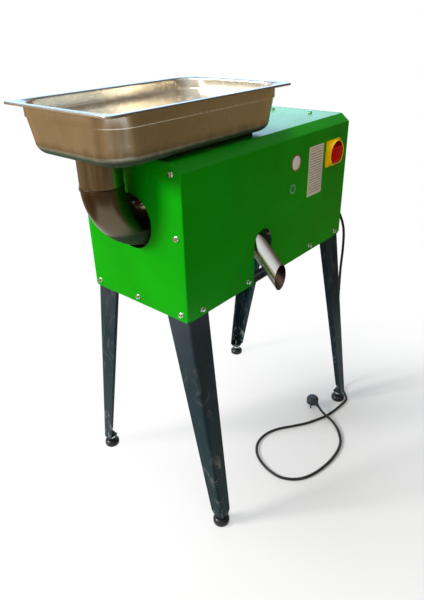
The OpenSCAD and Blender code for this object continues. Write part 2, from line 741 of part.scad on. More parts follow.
module inlet_cover() centred() color(steel) difference() {
  union() {
    housing_solid(cover_x, drum_x, lip_w);
    upright(cover_x, plate_t, housing_r + lip_w, 1);
  }
  axis_rod(cover_x - cut, drum_x + cut, pipe_in_r);
  inlet_bolt_holes(cover_x - cut, drum_x + cut);
  housing_bolt_holes(cover_x - cut, drum_x + cut);
}

// Screws of the elbow's flange, tightened from the outside
module inlet_bolts() centred() color(zinc) for (a = [45 : 90 : 315])
  translate([elbow_x - plate_t, inlet_bolt_r * cos(a), axis_z + inlet_bolt_r * sin(a)])
    rotate([0, -90, 0]) hex_screw(screw_d, 2 * plate_t + gasket_t + 2);

module drum_housing() centred() color(steel) difference() {
  union() {
    housing_solid(drum_x, bulk_x, 0);
    housing_solid(drum_x, drum_x + lip_t, lip_w);
    housing_solid(bulk_x - lip_t, bulk_x, lip_w);
  }
  housing_solid(drum_x - cut, bulk_x + cut, -housing_t);
  housing_bolt_holes(drum_x - cut, bulk_x + cut);
  spout_rod(spout_r - spout_t, -housing_r - 30, -housing_r + 40);
  box([chute_x0 + 2, -chute_w / 2 + 2, floor_front_z - 8], [chute_x1 - 2, chute_w / 2 - 2, floor_back_z + 8]);
}

// Cylinder along the spout's axis between two values of y
module spout_rod(r, y_a, y_b) translate([spout_x, y_b, spout_axis_z(y_b)]) rotate([135, 0, 0])
  cylinder(h = (y_b - y_a) * sqrt(2), r = r);

module juice_spout() centred() color(steel) difference() {
  intersection() {
    spout_rod(spout_r, -hy - spout_reach - 60, -housing_r + 60);
    box([spout_x - 60, -hy - spout_reach, z0 - 80], [spout_x + 60, -housing_r, axis_z + 80]);
  }
  spout_rod(spout_r - spout_t, -hy - spout_reach - 90, -housing_r + 90);
}

module sieve_drum() centred() color(steel) difference() {
  axis_rod(drum_x, sieve_x1, sieve_r);
  axis_rod(drum_x - cut, sieve_x1 + cut, sieve_in_r);
  for (i = [0 : sieve_rings - 1], k = [0 : sieve_around - 1])
    translate([drum_x + 34 + i * (sieve_x1 - drum_x - 60) / (sieve_rings - 1), 0, axis_z])
      rotate([(k + (i % 2) / 2) * 360 / sieve_around, 0, 0])
        translate([0, 0, sieve_in_r - 4]) cylinder(h = sieve_t + 8, r = sieve_hole_d / 2, $fn = 24);
}

module drum_partition() centred() color(steel) difference() {
  housing_solid(0, sieve_x1, -housing_t);
  axis_rod(-cut, sieve_x1 + cut, sieve_r + run_gap);
}

module waste_chute() centred() color(steel) difference() {
  along_x(chute_x0, chute_x1) polygon([
    [-chute_w / 2, floor_z(-chute_w / 2)], [chute_w / 2, floor_z(chute_w / 2)],
    [chute_w / 2, chute_z], [-chute_w / 2, chute_z]
  ]);
  box([chute_x0 + 2, -chute_w / 2 + 2, chute_z - cut], [chute_x1 - 2, chute_w / 2 - 2, floor_back_z + 8]);
}

module motor_bolt_holes(x_a, x_b, r) for (a = [45 : 90 : 315])
  rod_x(x_a, x_b, motor_bolt_r * cos(a), axis_z + motor_bolt_r * sin(a), r);

module bulkhead() centred() color(dark_paint) difference() {
  union() {
    housing_solid(bulk_x, motor_x, lip_w);
    upright(bulk_x, bulk_t, housing_r + lip_w, 1);
  }
  axis_rod(bulk_x - cut, motor_x + cut, seal_r);
  motor_bolt_holes(bulk_x - cut, motor_x + cut, 4.15);
  housing_bolt_holes(bulk_x - cut, motor_x + cut);
}

module housing_bolts() centred() color(zinc) for (p = housing_bolt_pts) {
  translate([cover_x, p[0], p[1]]) rotate([0, -90, 0]) hex_screw(screw_d, plate_t + lip_t + 2);
  translate([bulk_x - lip_t, p[0], p[1]]) rotate([0, -90, 0]) hex_screw(screw_d, bulk_t + lip_t + 2);
}

module shaft_seal() centred() color(rubber_black) difference() {
  axis_rod(bulk_x, motor_x, seal_r - run_gap);
  axis_rod(bulk_x - cut, motor_x + cut, hub_r + run_gap);
}

// ---------------------------------------------------------------- rotor

module rotor_shaft() centred() color(zinc) {
  axis_rod(shaft_x0, barrel_x0, shaft_r);
  axis_rod(barrel_x0 - eps, fan_x0 + fan_w + 2, journal_r - run_gap);
  axis_rod(core_x0, core_x1, core_r);
}

module rotor_hub() centred() color(steel) difference() {
  axis_rod(hub_x0, hub_x1, hub_r);
  axis_rod(hub_x0 - cut, hub_bore_x0 - 18, hub_tube_r);
  axis_rod(hub_bore_x0 - 19, hub_bore_x0 + cut, leg_bolt_d / 2 + run_gap);
  axis_rod(hub_bore_x0, hub_x1 + cut, shaft_r + run_gap);
}

// Socket screw that pulls the hub onto the motor shaft
module rotor_bolt() centred() color(zinc) {
  axis_rod(hub_bore_x0 - 26, hub_bore_x0 - 18, 6.5);
  axis_rod(hub_bore_x0 - 18 - eps, shaft_x0, leg_bolt_d / 2);
}

module rotor_spiders() centred() color(steel) for (x = spider_xs) difference() {
  union() {
    axis_rod(x, x + spider_w, hub_r + 7);
    for (k = [0 : paddle_n - 1]) translate([x, 0, axis_z]) rotate([k * 360 / paddle_n, 0, 0])
      translate([0, -5, 0]) cube([spider_w, 10, paddle_r0]);
  }
  axis_rod(x - cut, x + spider_w + cut, hub_r + run_gap);
}

module rotor_paddles() centred() color(steel) for (k = [0 : paddle_n - 1]) translate([0, 0, axis_z])
  rotate([k * 360 / paddle_n, 0, 0]) intersection() {
    box([paddle_x0, -paddle_t / 2, paddle_r0], [paddle_x1, paddle_t / 2, paddle_r1 + 5]);
    rotate([0, 90, 0]) translate([0, 0, paddle_x0 - cut])
      cylinder(h = paddle_x1 - paddle_x0 + 2 * cut, r = paddle_r1);
  }

// One turn of a screw flight round the hub
flight_n = 40;
function flight_corner(i, r, dx) = [
  hub_x0 + 2 + flight_pitch * i / flight_n + dx,
  r * sin(360 * i / flight_n),
  axis_z + r * cos(360 * i / flight_n)
];
module feed_flight() centred() {
  n = flight_n;
  r0 = hub_r + 0.1;
  points = [for (i = [0 : n]) each [
    flight_corner(i, r0, 0), flight_corner(i, flight_r, 0),
    flight_corner(i, flight_r, flight_t), flight_corner(i, r0, flight_t)
  ]];
  faces = concat(
    [[0, 1, 2, 3]],
    [for (i = [0 : n - 1], k = [0 : 3]) let (a = 4 * i + k, b = 4 * i + (k + 1) % 4) each [
      [a, a + 4, b + 4], [a, b + 4, b]
    ]],
    [[4 * n + 3, 4 * n + 2, 4 * n + 1, 4 * n]]
  );
  color(steel) polyhedron(points, faces);
}

// Rounded nose that closes the open end of the hub
module rotor_nose() centred() color(steel) translate([hub_x0, 0, axis_z]) rotate([0, -90, 0]) {
  rotate_extrude() polygon([[0, 0], [hub_r, 0], [hub_r - 3, 6], [hub_r - 9, 12], [0, 15]]);
  translate([0, 0, -12]) cylinder(h = 12 + eps, r = hub_tube_r - run_gap);
}

// Short vanes that throw the skins down the chute
module waste_vanes() centred() color(steel) difference() {
  union() {
    axis_rod(chute_x0 + 3, bulk_x - 6, hub_r + 5);
    for (k = [0 : 2]) translate([chute_x0 + 3, 0, axis_z]) rotate([k * 120 + 60, 0, 0])
      translate([0, -3, 0]) cube([bulk_x - chute_x0 - 9, 6, sieve_in_r - 12]);
  }
  axis_rod(chute_x0, bulk_x, hub_r + run_gap);
}

module motor_fan() centred() color(rubber_black) difference() {
  union() {
    axis_rod(fan_x0, fan_x0 + fan_w, journal_r + 8);
    axis_rod(fan_x0, fan_x0 + 2, motor_r - 6);
    for (k = [0 : 6]) translate([fan_x0, 0, axis_z]) rotate([k * 360 / 7, 0, 0])
      translate([0, -1.5, 0]) cube([fan_w - 4, 3, motor_r - 8]);
  }
  axis_rod(fan_x0 - cut, fan_x0 + fan_w + cut, journal_r);
}

// ---------------------------------------------------------------- motor

// Fins stand all round, but leave room for the terminal box and the capacitor
function fin_free(a) = (a > 52 && a < 128) || (a > cap_a - 22 && a < cap_a + 12);
module motor_body() centred() color("#5f6f78") difference() {
  union() {
    axis_rod(motor_x, barrel_x0, motor_flange_r);
    axis_rod(barrel_x0, barrel_x1, motor_r);
    for (k = [0 : fin_n - 1]) let (a = 360 * k / fin_n) if (!fin_free(a))
      translate([fin_x0, 0, axis_z]) rotate([a - 90, 0, 0])
        translate([0, -1.5, motor_r - 3]) cube([fin_x1 - fin_x0, 3, fin_h + 3]);
  }
  axis_rod(motor_x - cut, barrel_x0 + cut, journal_r + 10);
  axis_rod(barrel_x0 + 2 + bearing_w, barrel_x1 - bearing_w - 2, stator_in_r);
  axis_rod(barrel_x0 + 1, barrel_x1 - 1, bearing_r);
  axis_rod(barrel_x1 - 2, barrel_x1 + cut, journal_r + 2);
  motor_bolt_holes(motor_x - cut, barrel_x0 + cut, 4.15);
}

module motor_bearings() centred() color(zinc) for (x = bearing_xs) difference() {
  axis_rod(x, x + bearing_w, bearing_r - run_gap);
  axis_rod(x - cut, x + bearing_w + cut, journal_r);
}

module motor_bolts() centred() color(zinc) for (a = [45 : 90 : 315])
  translate([barrel_x0, motor_bolt_r * cos(a), axis_z + motor_bolt_r * sin(a)])
    rotate([0, 90, 0]) hex_screw(8, flange_t + bulk_t);

module fan_cover() centred() color("#3f4b52") difference() {
  axis_rod(barrel_x1 - 12, cover_x1, fan_cover_r + 1.5);
  axis_rod(barrel_x1 - 13, cover_x1 - 1.5, fan_cover_r);
  for (ring = [1 : 3], k = [0 : 6 * ring - 1]) translate([cover_x1, 0, axis_z])
    rotate([k * 60 / ring, 0, 0]) translate([0, 0, ring * 18]) rotate([0, 90, 0])
      cylinder(h = 6, r = 5, center = true, $fn = 24);
}

module terminal_box() centred() color("#2c3439") difference() {
  box([box_x0, -40, axis_z + motor_r - 12], [box_x1, 40, box_z1]);
  axis_rod(barrel_x0, barrel_x1, motor_r);
}

// Capacitor along the motor's shoulder, on a saddle
module capacitor() centred() color("#d8d8d4") difference() {
  union() {
    rod_x(barrel_x0 + 34, barrel_x0 + 130, (motor_r + cap_r + 4) * cos(cap_a),
      axis_z + (motor_r + cap_r + 4) * sin(cap_a), cap_r);
    translate([barrel_x0 + 60, 0, axis_z]) rotate([cap_a - 90, 0, 0])
      translate([0, -8, motor_r - 3]) cube([40, 16, 20]);
  }
  axis_rod(barrel_x0, barrel_x1, motor_r);
}

// ---------------------------------------------------------------- switch

// Round collar shape with a flat bottom, between two planes of y
module flat_round(r, flat, y_a, y_b) intersection() {
  rod_y(switch_x, y_a, y_b, switch_z, r);
  box([switch_x - r - cut, y_a - cut, switch_z - flat], [switch_x + r + cut, y_b + cut, switch_z + r + cut]);
}

module button_holes(y_a, y_b) for (x = button_xs) rod_y(x, y_a, y_b, button_z, button_r + seat_gap);

module switch_plate() centred() color(yellow) difference() {
  union() {
    along_y(plate_y, -hy) translate([switch_x, switch_z]) polygon(round_rect(switch_w, switch_w, 5));
    box([switch_x - 26, -hy - eps, switch_z - 26], [switch_x + 26, block_y, switch_z + 26]);
  }
  button_holes(plate_y - cut, block_y + cut);
}

module switch_collar() centred() color(yellow) difference() {
  flat_round(collar_r, collar_flat, collar_y, plate_y);
  flat_round(collar_r - collar_t, collar_flat - collar_t, collar_y - cut, plate_y + cut);
  rod_x(switch_x - collar_r, switch_x + collar_r, hinge_y, hinge_z, hinge_r + run_gap);
}

module switch_insert() centred() color(red) difference() {
  flat_round(collar_r - collar_t - 0.1, collar_flat - collar_t - 0.1, plate_y - insert_t, plate_y);
  button_holes(plate_y - insert_t - cut, plate_y + cut);
}

// Stop flap: hangs from two pins in the collar and covers both buttons
module switch_flap() centred() color(red) {
  intersection() {
    box([switch_x - flap_half, flap_front, switch_z - collar_flat + collar_t + 1],
        [switch_x + flap_half, hinge_y + 2, hinge_z]);
    rod_y(switch_x, hinge_y - 10, hinge_y + 10, switch_z, collar_r - collar_t - 1.2);
  }
  rod_x(switch_x - flap_half + 1, switch_x + flap_half - 1, hinge_y, hinge_z, barrel_r);
  rod_x(switch_x - flap_half - 3.4, switch_x + flap_half + 3.4, hinge_y, hinge_z, hinge_r);
  intersection() {
    box([switch_x - 14, collar_y - 1.5, switch_z - 20], [switch_x + 14, flap_front + eps, switch_z + 6]);
    rod_y(switch_x, hinge_y - 10, hinge_y + 10, switch_z, collar_r - collar_t - 6);
  }
}

module push_button(x) rod_y(x, button_y, button_y + button_l, button_z, button_r);
module start_button() centred() color("#1c7a2c") push_button(button_xs[0]);
module stop_button() centred() color(red) push_button(button_xs[1]);

module contact_block() centred() color(rubber_black)
  box([switch_x - 26, block_y, block_z], [switch_x + 26, block_y + block_depth, switch_z + 26]);

// ---------------------------------------------------------------- signs, all bare

module instruction_plate() centred() color("#8c887b") along_y(-hy - 0.8, -hy)
  translate([sign_x, z0 + sign_z]) polygon(round_rect(sign_w, sign_h, 2));

module round_labels() centred() {
  color("#e9e4e6") rod_y(sign_x - 96, -hy - 0.6, -hy, z0 + sign_z + 39, sticker_r);
  color("#1f8f78") rod_y(sign_x - 107, -hy - 0.6, -hy, z0 + sign_z - 25, small_sticker_r);
}

// ---------------------------------------------------------------- cord

module cable_gland() centred() color(rubber_black) {
  rod_x(hx - gland_in, hx + eps, gland_y, gland_z, gland_r);
  translate([hx, gland_y, gland_z]) rotate([0, 90, 0]) cylinder(h = 8, r = 13.5, $fn = 6);
  translate([hx + 8 - eps, gland_y, gland_z]) rotate([0, 90, 0]) rotate_extrude()
    polygon([[0, 0], [11.5, 0], [11.5, 8], [8, gland_l - 8], [0, gland_l - 8]]);
}

module gland_nut() centred() color(zinc) difference() {
  translate([in_x - 5, gland_y, gland_z]) rotate([0, 90, 0]) cylinder(h = 5, r = 13.5, $fn = 6);
  rod_x(in_x - 6, in_x + 1, gland_y, gland_z, gland_r + run_gap);
}

module inner_wires() centred() color(rubber_black) {
  swept_tube(supply_route, wire_r, 8, 3, [-1, 0, 0]);
  swept_tube(motor_route, wire_r, 8, 3, [0, 0, -1]);
}

module mains_cord() centred() color(rubber_black)
  swept_tube(cord_route, cord_d / 2, cord_sides, cord_steps, [1, 0, 0]);

// Angled plug that stands on its two pins, with its strain relief
module mains_plug() centred() {
  color(rubber_black) translate([plug_c[0], plug_c[1], 0]) {
    translate([0, 0, plug_c[2] - plug_h / 2]) rotate_extrude() polygon([
      [0, 0], [plug_r - 2, 0], [plug_r, 2], [plug_r, plug_h - 8], [plug_r - 6, plug_h], [0, plug_h]
    ]);
  }
  color(rubber_black) hull() {
    p = cord_route[len(cord_route) - 1];
    q = cord_route[len(cord_route) - 2];
    aim = p - q;
    for (k = [0, 1]) translate(p + k * unit(aim) * 18) rotate([0, acos(unit(aim)[2]), atan2(aim[1], aim[0])])
      cylinder(h = 1, r = k == 0 ? cord_d / 2 + 1 : 9, $fn = 32);
  }
  color(zinc) for (s = [-1, 1])
    rod_z(plug_c[0] + s * pin_gap / 2, plug_c[1], 0, plug_c[2] - plug_h / 2 + 1, pin_r);
}

body_shell();
inlet_end_plate();
drive_end_plate();
base_frame();
top_stiffeners();
leg_front_inlet();
leg_front_drive();
leg_back_inlet();
leg_back_drive();
foot_front_inlet();
foot_front_drive();
foot_back_inlet();
foot_back_drive();
foot_nuts();
leg_bolts();
casing_screws();
hopper_pan();
hopper_pipe();
pan_rests();
inlet_elbow();
inlet_gasket();
inlet_cover();
inlet_bolts();
drum_housing();
sieve_drum();
drum_partition();
juice_spout();
waste_chute();
bulkhead();
housing_bolts();
shaft_seal();
rotor_shaft();
rotor_hub();
rotor_bolt();
rotor_spiders();
rotor_paddles();
feed_flight();
rotor_nose();
waste_vanes();
motor_fan();
motor_body();
motor_bearings();
fan_cover();
terminal_box();
capacitor();
motor_bolts();
switch_plate();
switch_collar();
switch_insert();
switch_flap();
start_button();
stop_button();
contact_block();
instruction_plate();
round_labels();
cable_gland();
gland_nut();
inner_wires();
mains_cord();
mains_plug();
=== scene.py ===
import json
import math

import bmesh
import bpy
import numpy as np
from bpy.props import FloatProperty, FloatVectorProperty, PointerProperty
from bpy.types import Operator, Panel, PropertyGroup
from mathutils import Matrix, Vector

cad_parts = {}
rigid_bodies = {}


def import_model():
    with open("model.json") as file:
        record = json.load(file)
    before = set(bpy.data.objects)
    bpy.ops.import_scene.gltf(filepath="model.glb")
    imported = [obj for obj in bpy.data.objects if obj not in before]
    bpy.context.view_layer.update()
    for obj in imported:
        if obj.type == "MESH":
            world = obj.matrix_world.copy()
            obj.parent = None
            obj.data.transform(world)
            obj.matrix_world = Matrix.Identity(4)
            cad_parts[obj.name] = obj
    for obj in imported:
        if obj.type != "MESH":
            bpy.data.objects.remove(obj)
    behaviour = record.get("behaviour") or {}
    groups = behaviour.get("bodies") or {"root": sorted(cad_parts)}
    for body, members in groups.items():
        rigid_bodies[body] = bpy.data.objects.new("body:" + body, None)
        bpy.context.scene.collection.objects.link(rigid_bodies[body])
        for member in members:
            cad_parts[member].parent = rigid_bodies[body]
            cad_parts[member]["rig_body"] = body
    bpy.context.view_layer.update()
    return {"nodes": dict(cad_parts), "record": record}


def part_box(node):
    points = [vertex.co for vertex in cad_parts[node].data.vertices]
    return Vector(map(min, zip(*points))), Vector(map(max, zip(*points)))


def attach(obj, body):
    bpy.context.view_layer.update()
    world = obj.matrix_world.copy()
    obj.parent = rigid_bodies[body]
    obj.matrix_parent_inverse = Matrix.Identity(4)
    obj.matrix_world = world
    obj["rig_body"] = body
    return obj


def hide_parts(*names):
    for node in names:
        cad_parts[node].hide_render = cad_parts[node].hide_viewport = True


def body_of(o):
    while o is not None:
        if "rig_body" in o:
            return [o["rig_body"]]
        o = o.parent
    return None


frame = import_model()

bl_info = {
    "name": "Electric tomato strainer",
    "version": (1, 0, 0),
    "blender": (4, 5, 0),
    "location": "3D View > Sidebar > Strainer",
    "description": "Gives a floor-standing electric tomato strainer its surfaces and finishes",
    "category": "Object",
}

SLOT = {part["node"]: part["material_slot"] for part in frame["record"]["subparts"]}
MID = (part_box("body_shell")[0][0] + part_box("body_shell")[1][0]) / 2


def at(points):
    """Frame position, in metres, of points in millimetres from the casing's middle, with
    x along the casing, y away from the switch's side and z up from the floor."""
    return np.asarray(points, float) / 1000 + [MID, 0, 0]


def box_mm(node):
    """Lowest and highest corner of a CAD node in millimetres from the casing's middle."""
    return tuple((np.array(corner) - [MID, 0, 0]) * 1000 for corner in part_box(node))


def rgb(code):
    """Linear colour of a hexadecimal screen colour."""
    parts = [int(code[i:i + 2], 16) / 255 for i in (0, 2, 4)]
    return tuple(c / 12.92 if c <= 0.04045 else ((c + 0.055) / 1.055) ** 2.4 for c in parts)


# ---------------------------------------------------------------- sizes and colours


def length(name, default, note):
    return FloatProperty(name=name, description=note, default=default, min=0.0001, max=2.0,
                         unit="LENGTH", precision=4)


def colour(name, code, note):
    return FloatVectorProperty(name=name, description=note, default=rgb(code), size=3,
                               min=0.0, max=1.0, subtype="COLOR")


class CasingLooks(PropertyGroup):
    paint: colour("Casing paint", "07930a", "Gloss enamel of the casing")
    frame_paint: colour("Frame paint", "08242a", "Satin enamel of the legs and the base frame")
    bend: length("Fold radius", 0.005, "Outer radius of the folds along the casing")
    edge: length("Edge radius", 0.0025, "Outer radius of the end plates' folded rims")


class StandLooks(PropertyGroup):
    bend: length("Leg fold radius", 0.007, "Outer radius of the fold down each leg")
    rubber: colour("Foot rubber", "111417", "Rubber of the feet")
    thread_pitch: length("Thread pitch", 0.00175, "Pitch of the levelling studs")


class SteelLooks(PropertyGroup):
    # Painted reflection and painted shade: the four steels below are copies of one stainless steel,
    # warm for the pan as if it showed brown surroundings, darker for the pipe and the elbow, and
    # paler and bluish for the spout as if it showed the sky.
    pan: colour("Pan steel", "dcd5c6", "Deep-drawn stainless steel of the pan")
    tube: colour("Pipe steel", "9a9286", "Dull stainless steel of the upright pipe")
    # Painted shade: the elbow's steel is only made darker.
    elbow: colour("Elbow steel", "655a4a", "Heat-darkened stainless steel of the elbow")
    # Painted highlight: the spout's steel is made paler and bluish.
    spout: colour("Spout steel", "e2e6e6", "Polished stainless steel of the spout")
    sheet: colour("Inner steel", "9b917f", "Steel of the drum and the rotor")
    zinc: colour("Zinc plating", "e2eeec", "Plated screws, nuts and studs")


class SwitchLooks(PropertyGroup):
    yellow: colour("Yellow plastic", "fbd013", "Plate and collar of the switch")
    red: colour("Red plastic", "c8060a", "Stop flap and insert")
    green: colour("Green plastic", "1c7a2c", "Start button")


class CordLooks(PropertyGroup):
    diameter: length("Cord diameter", 0.008, "Outer diameter of the mains cord")
    sheath: colour("Cord sheath", "101315", "Rubber sheath of the mains cord")
    plug: colour("Plug", "1d262d", "Moulded plug body")


class StageLooks(PropertyGroup):
    floor: colour("Floor", "dadad9", "Plain pale floor")
    room: colour("Room", "c3a072", "Bright side of the room round the sweep")
    room_dim: colour("Dim room", "8c7654", "Dim side of the room round the sweep")


# ---------------------------------------------------------------- surfaces

MERGE = 2e-3


def grid(points, close_rows=False, close_ring=False):
    """Quads between the neighbours of an m by n grid of points. A closed direction joins
    its last row or column to its first. The second value numbers the corners."""
    m, n = points.shape[:2]
    index = np.arange(m * n).reshape(m, n)
    if close_rows:
        index = np.vstack([index, index[:1]])
    if close_ring:
        index = np.hstack([index, index[:, :1]])
    quads = np.stack([index[:-1, :-1], index[1:, :-1], index[1:, 1:], index[:-1, 1:]], -1)
    return points.reshape(-1, 3), quads.reshape(-1, 4)


def surface(x, y, z):
    """Grid of points from its coordinates, each a grid, a row, a column or a number."""
    return np.stack(np.broadcast_arrays(x, y, z), -1)


def smooth(mesh):
    mesh.polygons.foreach_set("use_smooth", np.ones(len(mesh.polygons), bool))


def stand_for(piece, node):
    """Gives a piece the finish, the body and the slot of the CAD node it stands for."""
    piece.name = piece.name.replace(" ", "_")
    bpy.context.scene.collection.objects.link(piece)
    piece.data.materials.append(FINISH[OWN_FINISH.get(node, SLOT[node])])
    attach(piece, body_of(frame["nodes"][node])[0])
    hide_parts(node)
    return piece


def titled(node):
    return node.replace("_", " ").capitalize()


def make(node, grids, sharp=38.0, name=None):
    """One piece from several grids in millimetres. Corners closer than 2 micrometres are
    merged, which closes seams and poles, and quads that shrink to a line are dropped."""
    name = name or titled(node)
    sizes = [len(points) for points, _ in grids]
    starts = np.cumsum([0] + sizes[:-1])
    verts = np.concatenate([points for points, _ in grids])
    quads = np.concatenate([faces + start for (_, faces), start in zip(grids, starts)])
    keys = np.round(verts / MERGE).astype(np.int64)
    _, first, inverse = np.unique(keys, axis=0, return_index=True, return_inverse=True)
    quads = inverse.reshape(-1)[quads]
    same = quads == np.roll(quads, -1, axis=1)
    crossed = (quads[:, 0] == quads[:, 2]) | (quads[:, 1] == quads[:, 3])
    full = quads[(same.sum(1) == 0) & ~crossed]
    thin = quads[(same.sum(1) == 1) & ~crossed]
    triangles = thin[thin != np.roll(thin, -1, axis=1)].reshape(-1, 3)
    mesh = bpy.data.meshes.new(name)
    mesh.from_pydata(at(verts[first]).tolist(), [], full.tolist() + triangles.tolist())
    work = bmesh.new()
    work.from_mesh(mesh)
    bmesh.ops.delete(work, geom=[v for v in work.verts if not v.link_faces], context="VERTS")
    bmesh.ops.recalc_face_normals(work, faces=work.faces)
    work.to_mesh(mesh)
    work.free()
    smooth(mesh)
    mesh.set_sharp_from_angle(angle=math.radians(sharp))
    return stand_for(bpy.data.objects.new(name, mesh), node)


def softened(node, width, segments=2):
    """A copy of a CAD node with its flat faces joined and its edges rounded by a Bevel."""
    mesh = frame["nodes"][node].data.copy()
    mesh.name = titled(node)
    mesh.materials.clear()
    work = bmesh.new()
    work.from_mesh(mesh)
    bmesh.ops.remove_doubles(work, verts=work.verts, dist=1e-6)
    bmesh.ops.dissolve_limit(work, angle_limit=math.radians(0.3), verts=work.verts,
                             edges=work.edges)
    work.to_mesh(mesh)
    work.free()
    smooth(mesh)
    piece = bpy.data.objects.new(titled(node), mesh)
    bevel = piece.modifiers.new("Edges", "BEVEL")
    bevel.width = width / 1000
    bevel.segments = segments
    bevel.limit_method = "ANGLE"
    bevel.angle_limit = math.radians(40)
    bevel.use_clamp_overlap = True
    bevel.harden_normals = True
    return stand_for(piece, node)


def ring_angles(count):
    return np.linspace(0, 2 * math.pi, count, endpoint=False)


def ring_round(axis, count):
    """The axis and the directions square to it, cos a * side + sin a * up, of length 1."""
    axis = np.asarray(axis, float) / np.linalg.norm(axis)
    side = np.cross(axis, [0.0, 0.0, 1.0] if abs(axis[2]) < 0.9 else [0.0, 1.0, 0.0])
    side /= np.linalg.norm(side)
    a = ring_angles(count)
    return axis, np.cos(a)[:, None] * side + np.sin(a)[:, None] * np.cross(axis, side)


def turned(profile, centre, axis, count=64, closed=False):
    """Surface of revolution: the point at radius r and height h of the profile goes to
    centre + h * axis + r * (cos a * side + sin a * up)."""
    profile = np.asarray(profile, float)
    axis, ring = ring_round(axis, count)
    points = profile[:, 1, None, None] * axis + profile[:, 0, None, None] * ring
    return grid(points + np.asarray(centre, float), close_rows=closed, close_ring=True)


def thick(outer, inner, rims="tblr", ring=False):
    """A sheet between two surfaces. Each rim it is given joins the first row (t), the last
    row (b), the first column (l) or the last column (r) of one to that of the other."""
    faces = [grid(outer, close_ring=ring), grid(inner, close_ring=ring)]
    for rim, line in (("t", np.s_[0]), ("b", np.s_[-1]), ("l", np.s_[:, 0]), ("r", np.s_[:, -1])):
        if rim in rims:
            faces.append(grid(np.stack([outer[line], inner[line]]), close_ring=ring))
    return faces


def lifted(loops, heights):
    """Flat loops, one row each, at their heights."""
    return surface(loops[..., 0], loops[..., 1], np.reshape(heights, (-1, 1)))


def slab(low, high, radius, edge=0.6, axis=2):
    """Rounded block: rounded rectangles stacked along an axis, the first and last of them
    drawn in by the edge radius and closed by a point at their middle."""
    low, high = np.asarray(low, float), np.asarray(high, float)
    order = [[1, 2, 0], [0, 2, 1], [0, 1, 2]][axis]
    low, high = low[order], high[order]
    middle, half = (low + high) / 2, (high - low) / 2
    t = np.radians([0, 22.5, 45, 67.5, 90])
    inset = np.concatenate([edge * (1 - np.sin(t)), edge * (1 - np.cos(t))])
    rise = np.concatenate([low[2] + edge * (1 - np.cos(t)), high[2] - edge * (1 - np.sin(t))])
    loops = rounded_loops(half[0] - inset, half[1] - inset, np.maximum(radius - inset, 0.05),
                          corner=6, side=2)
    loops = np.concatenate([loops[:1] * 0, loops, loops[-1:] * 0])
    rise = np.concatenate([rise[:1], rise, rise[-1:]])
    points = np.empty((*loops.shape[:2], 3))
    points[..., order] = lifted(loops + middle[:2], rise)
    return grid(points, close_ring=True)


def hexed(centre, axis, across, height, bore=0.0, count=48):
    """Hexagon prism: its radius at angle a is half / cos(a mod 60 - 30), cut at both ends
    by a cone of 30 degrees, which rounds the corners of its end faces."""
    a = ring_angles(count)
    half = across / 2
    flat = half / np.cos(np.mod(a, math.pi / 3) - math.pi / 6)
    edge = np.full(count, half * 0.97)
    drop = (flat - edge) * math.tan(math.radians(30))
    full, none = np.full(count, float(height)), np.zeros(count)
    radius = np.stack([none + bore, edge, flat, flat, edge, none + bore])
    rise = np.stack([none, none, drop, full - drop, full, full])
    axis, ring = ring_round(axis, count)
    points = radius[..., None] * ring + rise[..., None] * axis
    return grid(points + np.asarray(centre, float), close_rows=bore > 0, close_ring=True)


def filleted(corners, radii, side, closed=False):
    """A polyline whose corners are arcs. The arc of radius r starts r / tan(half angle)
    before its corner and runs to the same distance behind it, and each straight stretch
    is cut into side equal parts."""
    p = np.asarray(corners, float)
    n = len(p)
    radii = np.broadcast_to(radii, n)
    runs = []
    for i in range(n):
        if not closed and i in (0, n - 1):
            runs.append(p[i:i + 1])
            continue
        a, b = p[i - 1] - p[i], p[(i + 1) % n] - p[i]
        a, b = a / np.linalg.norm(a), b / np.linalg.norm(b)
        half = math.acos(np.clip(a @ b, -1, 1)) / 2
        centre = p[i] + (a + b) / np.linalg.norm(a + b) * radii[i] / math.sin(half)
        start = p[i] + a * radii[i] / math.tan(half) - centre
        end = p[i] + b * radii[i] / math.tan(half) - centre
        t = np.linspace(0, 1, 7)[:, None]
        sweep = math.pi - 2 * half
        mix = (np.sin((1 - t) * sweep) * start + np.sin(t * sweep) * end) / math.sin(sweep)
        runs.append(centre + mix)
    if closed:
        runs.append(runs[0][:1])
    out = [runs[0]]
    for run in runs[1:]:
        t = np.linspace(0, 1, side + 1)[1:-1, None]
        out += [out[-1][-1] * (1 - t) + run[0] * t, run]
    points = np.concatenate(out)
    return points[:-1] if closed else points


def rounded_loops(half_x, half_y, radius, corner, side):
    """Rounded rectangles, one for each half size and radius. A point is
    sign * (half size - radius) + radius * circle."""
    signs, circle = [], []
    corners = np.array([[1, 1], [-1, 1], [-1, -1], [1, -1]], float)
    for i in range(4):
        a = np.radians(90 * i + np.linspace(0, 90, corner + 1))
        t = np.linspace(0, 1, side + 1)[1:-1, None]
        signs += [np.repeat(corners[i:i + 1], corner + 1, 0),
                  corners[i] * (1 - t) + corners[(i + 1) % 4] * t]
        round_corner = np.column_stack([np.cos(a), np.sin(a)])
        circle += [round_corner, np.repeat(round_corner[-1:], side - 1, 0)]
    half, radius = np.column_stack([half_x, half_y])[:, None], radius[:, None, None]
    return np.concatenate(signs) * (half - radius) + radius * np.concatenate(circle)


# ---------------------------------------------------------------- finishes


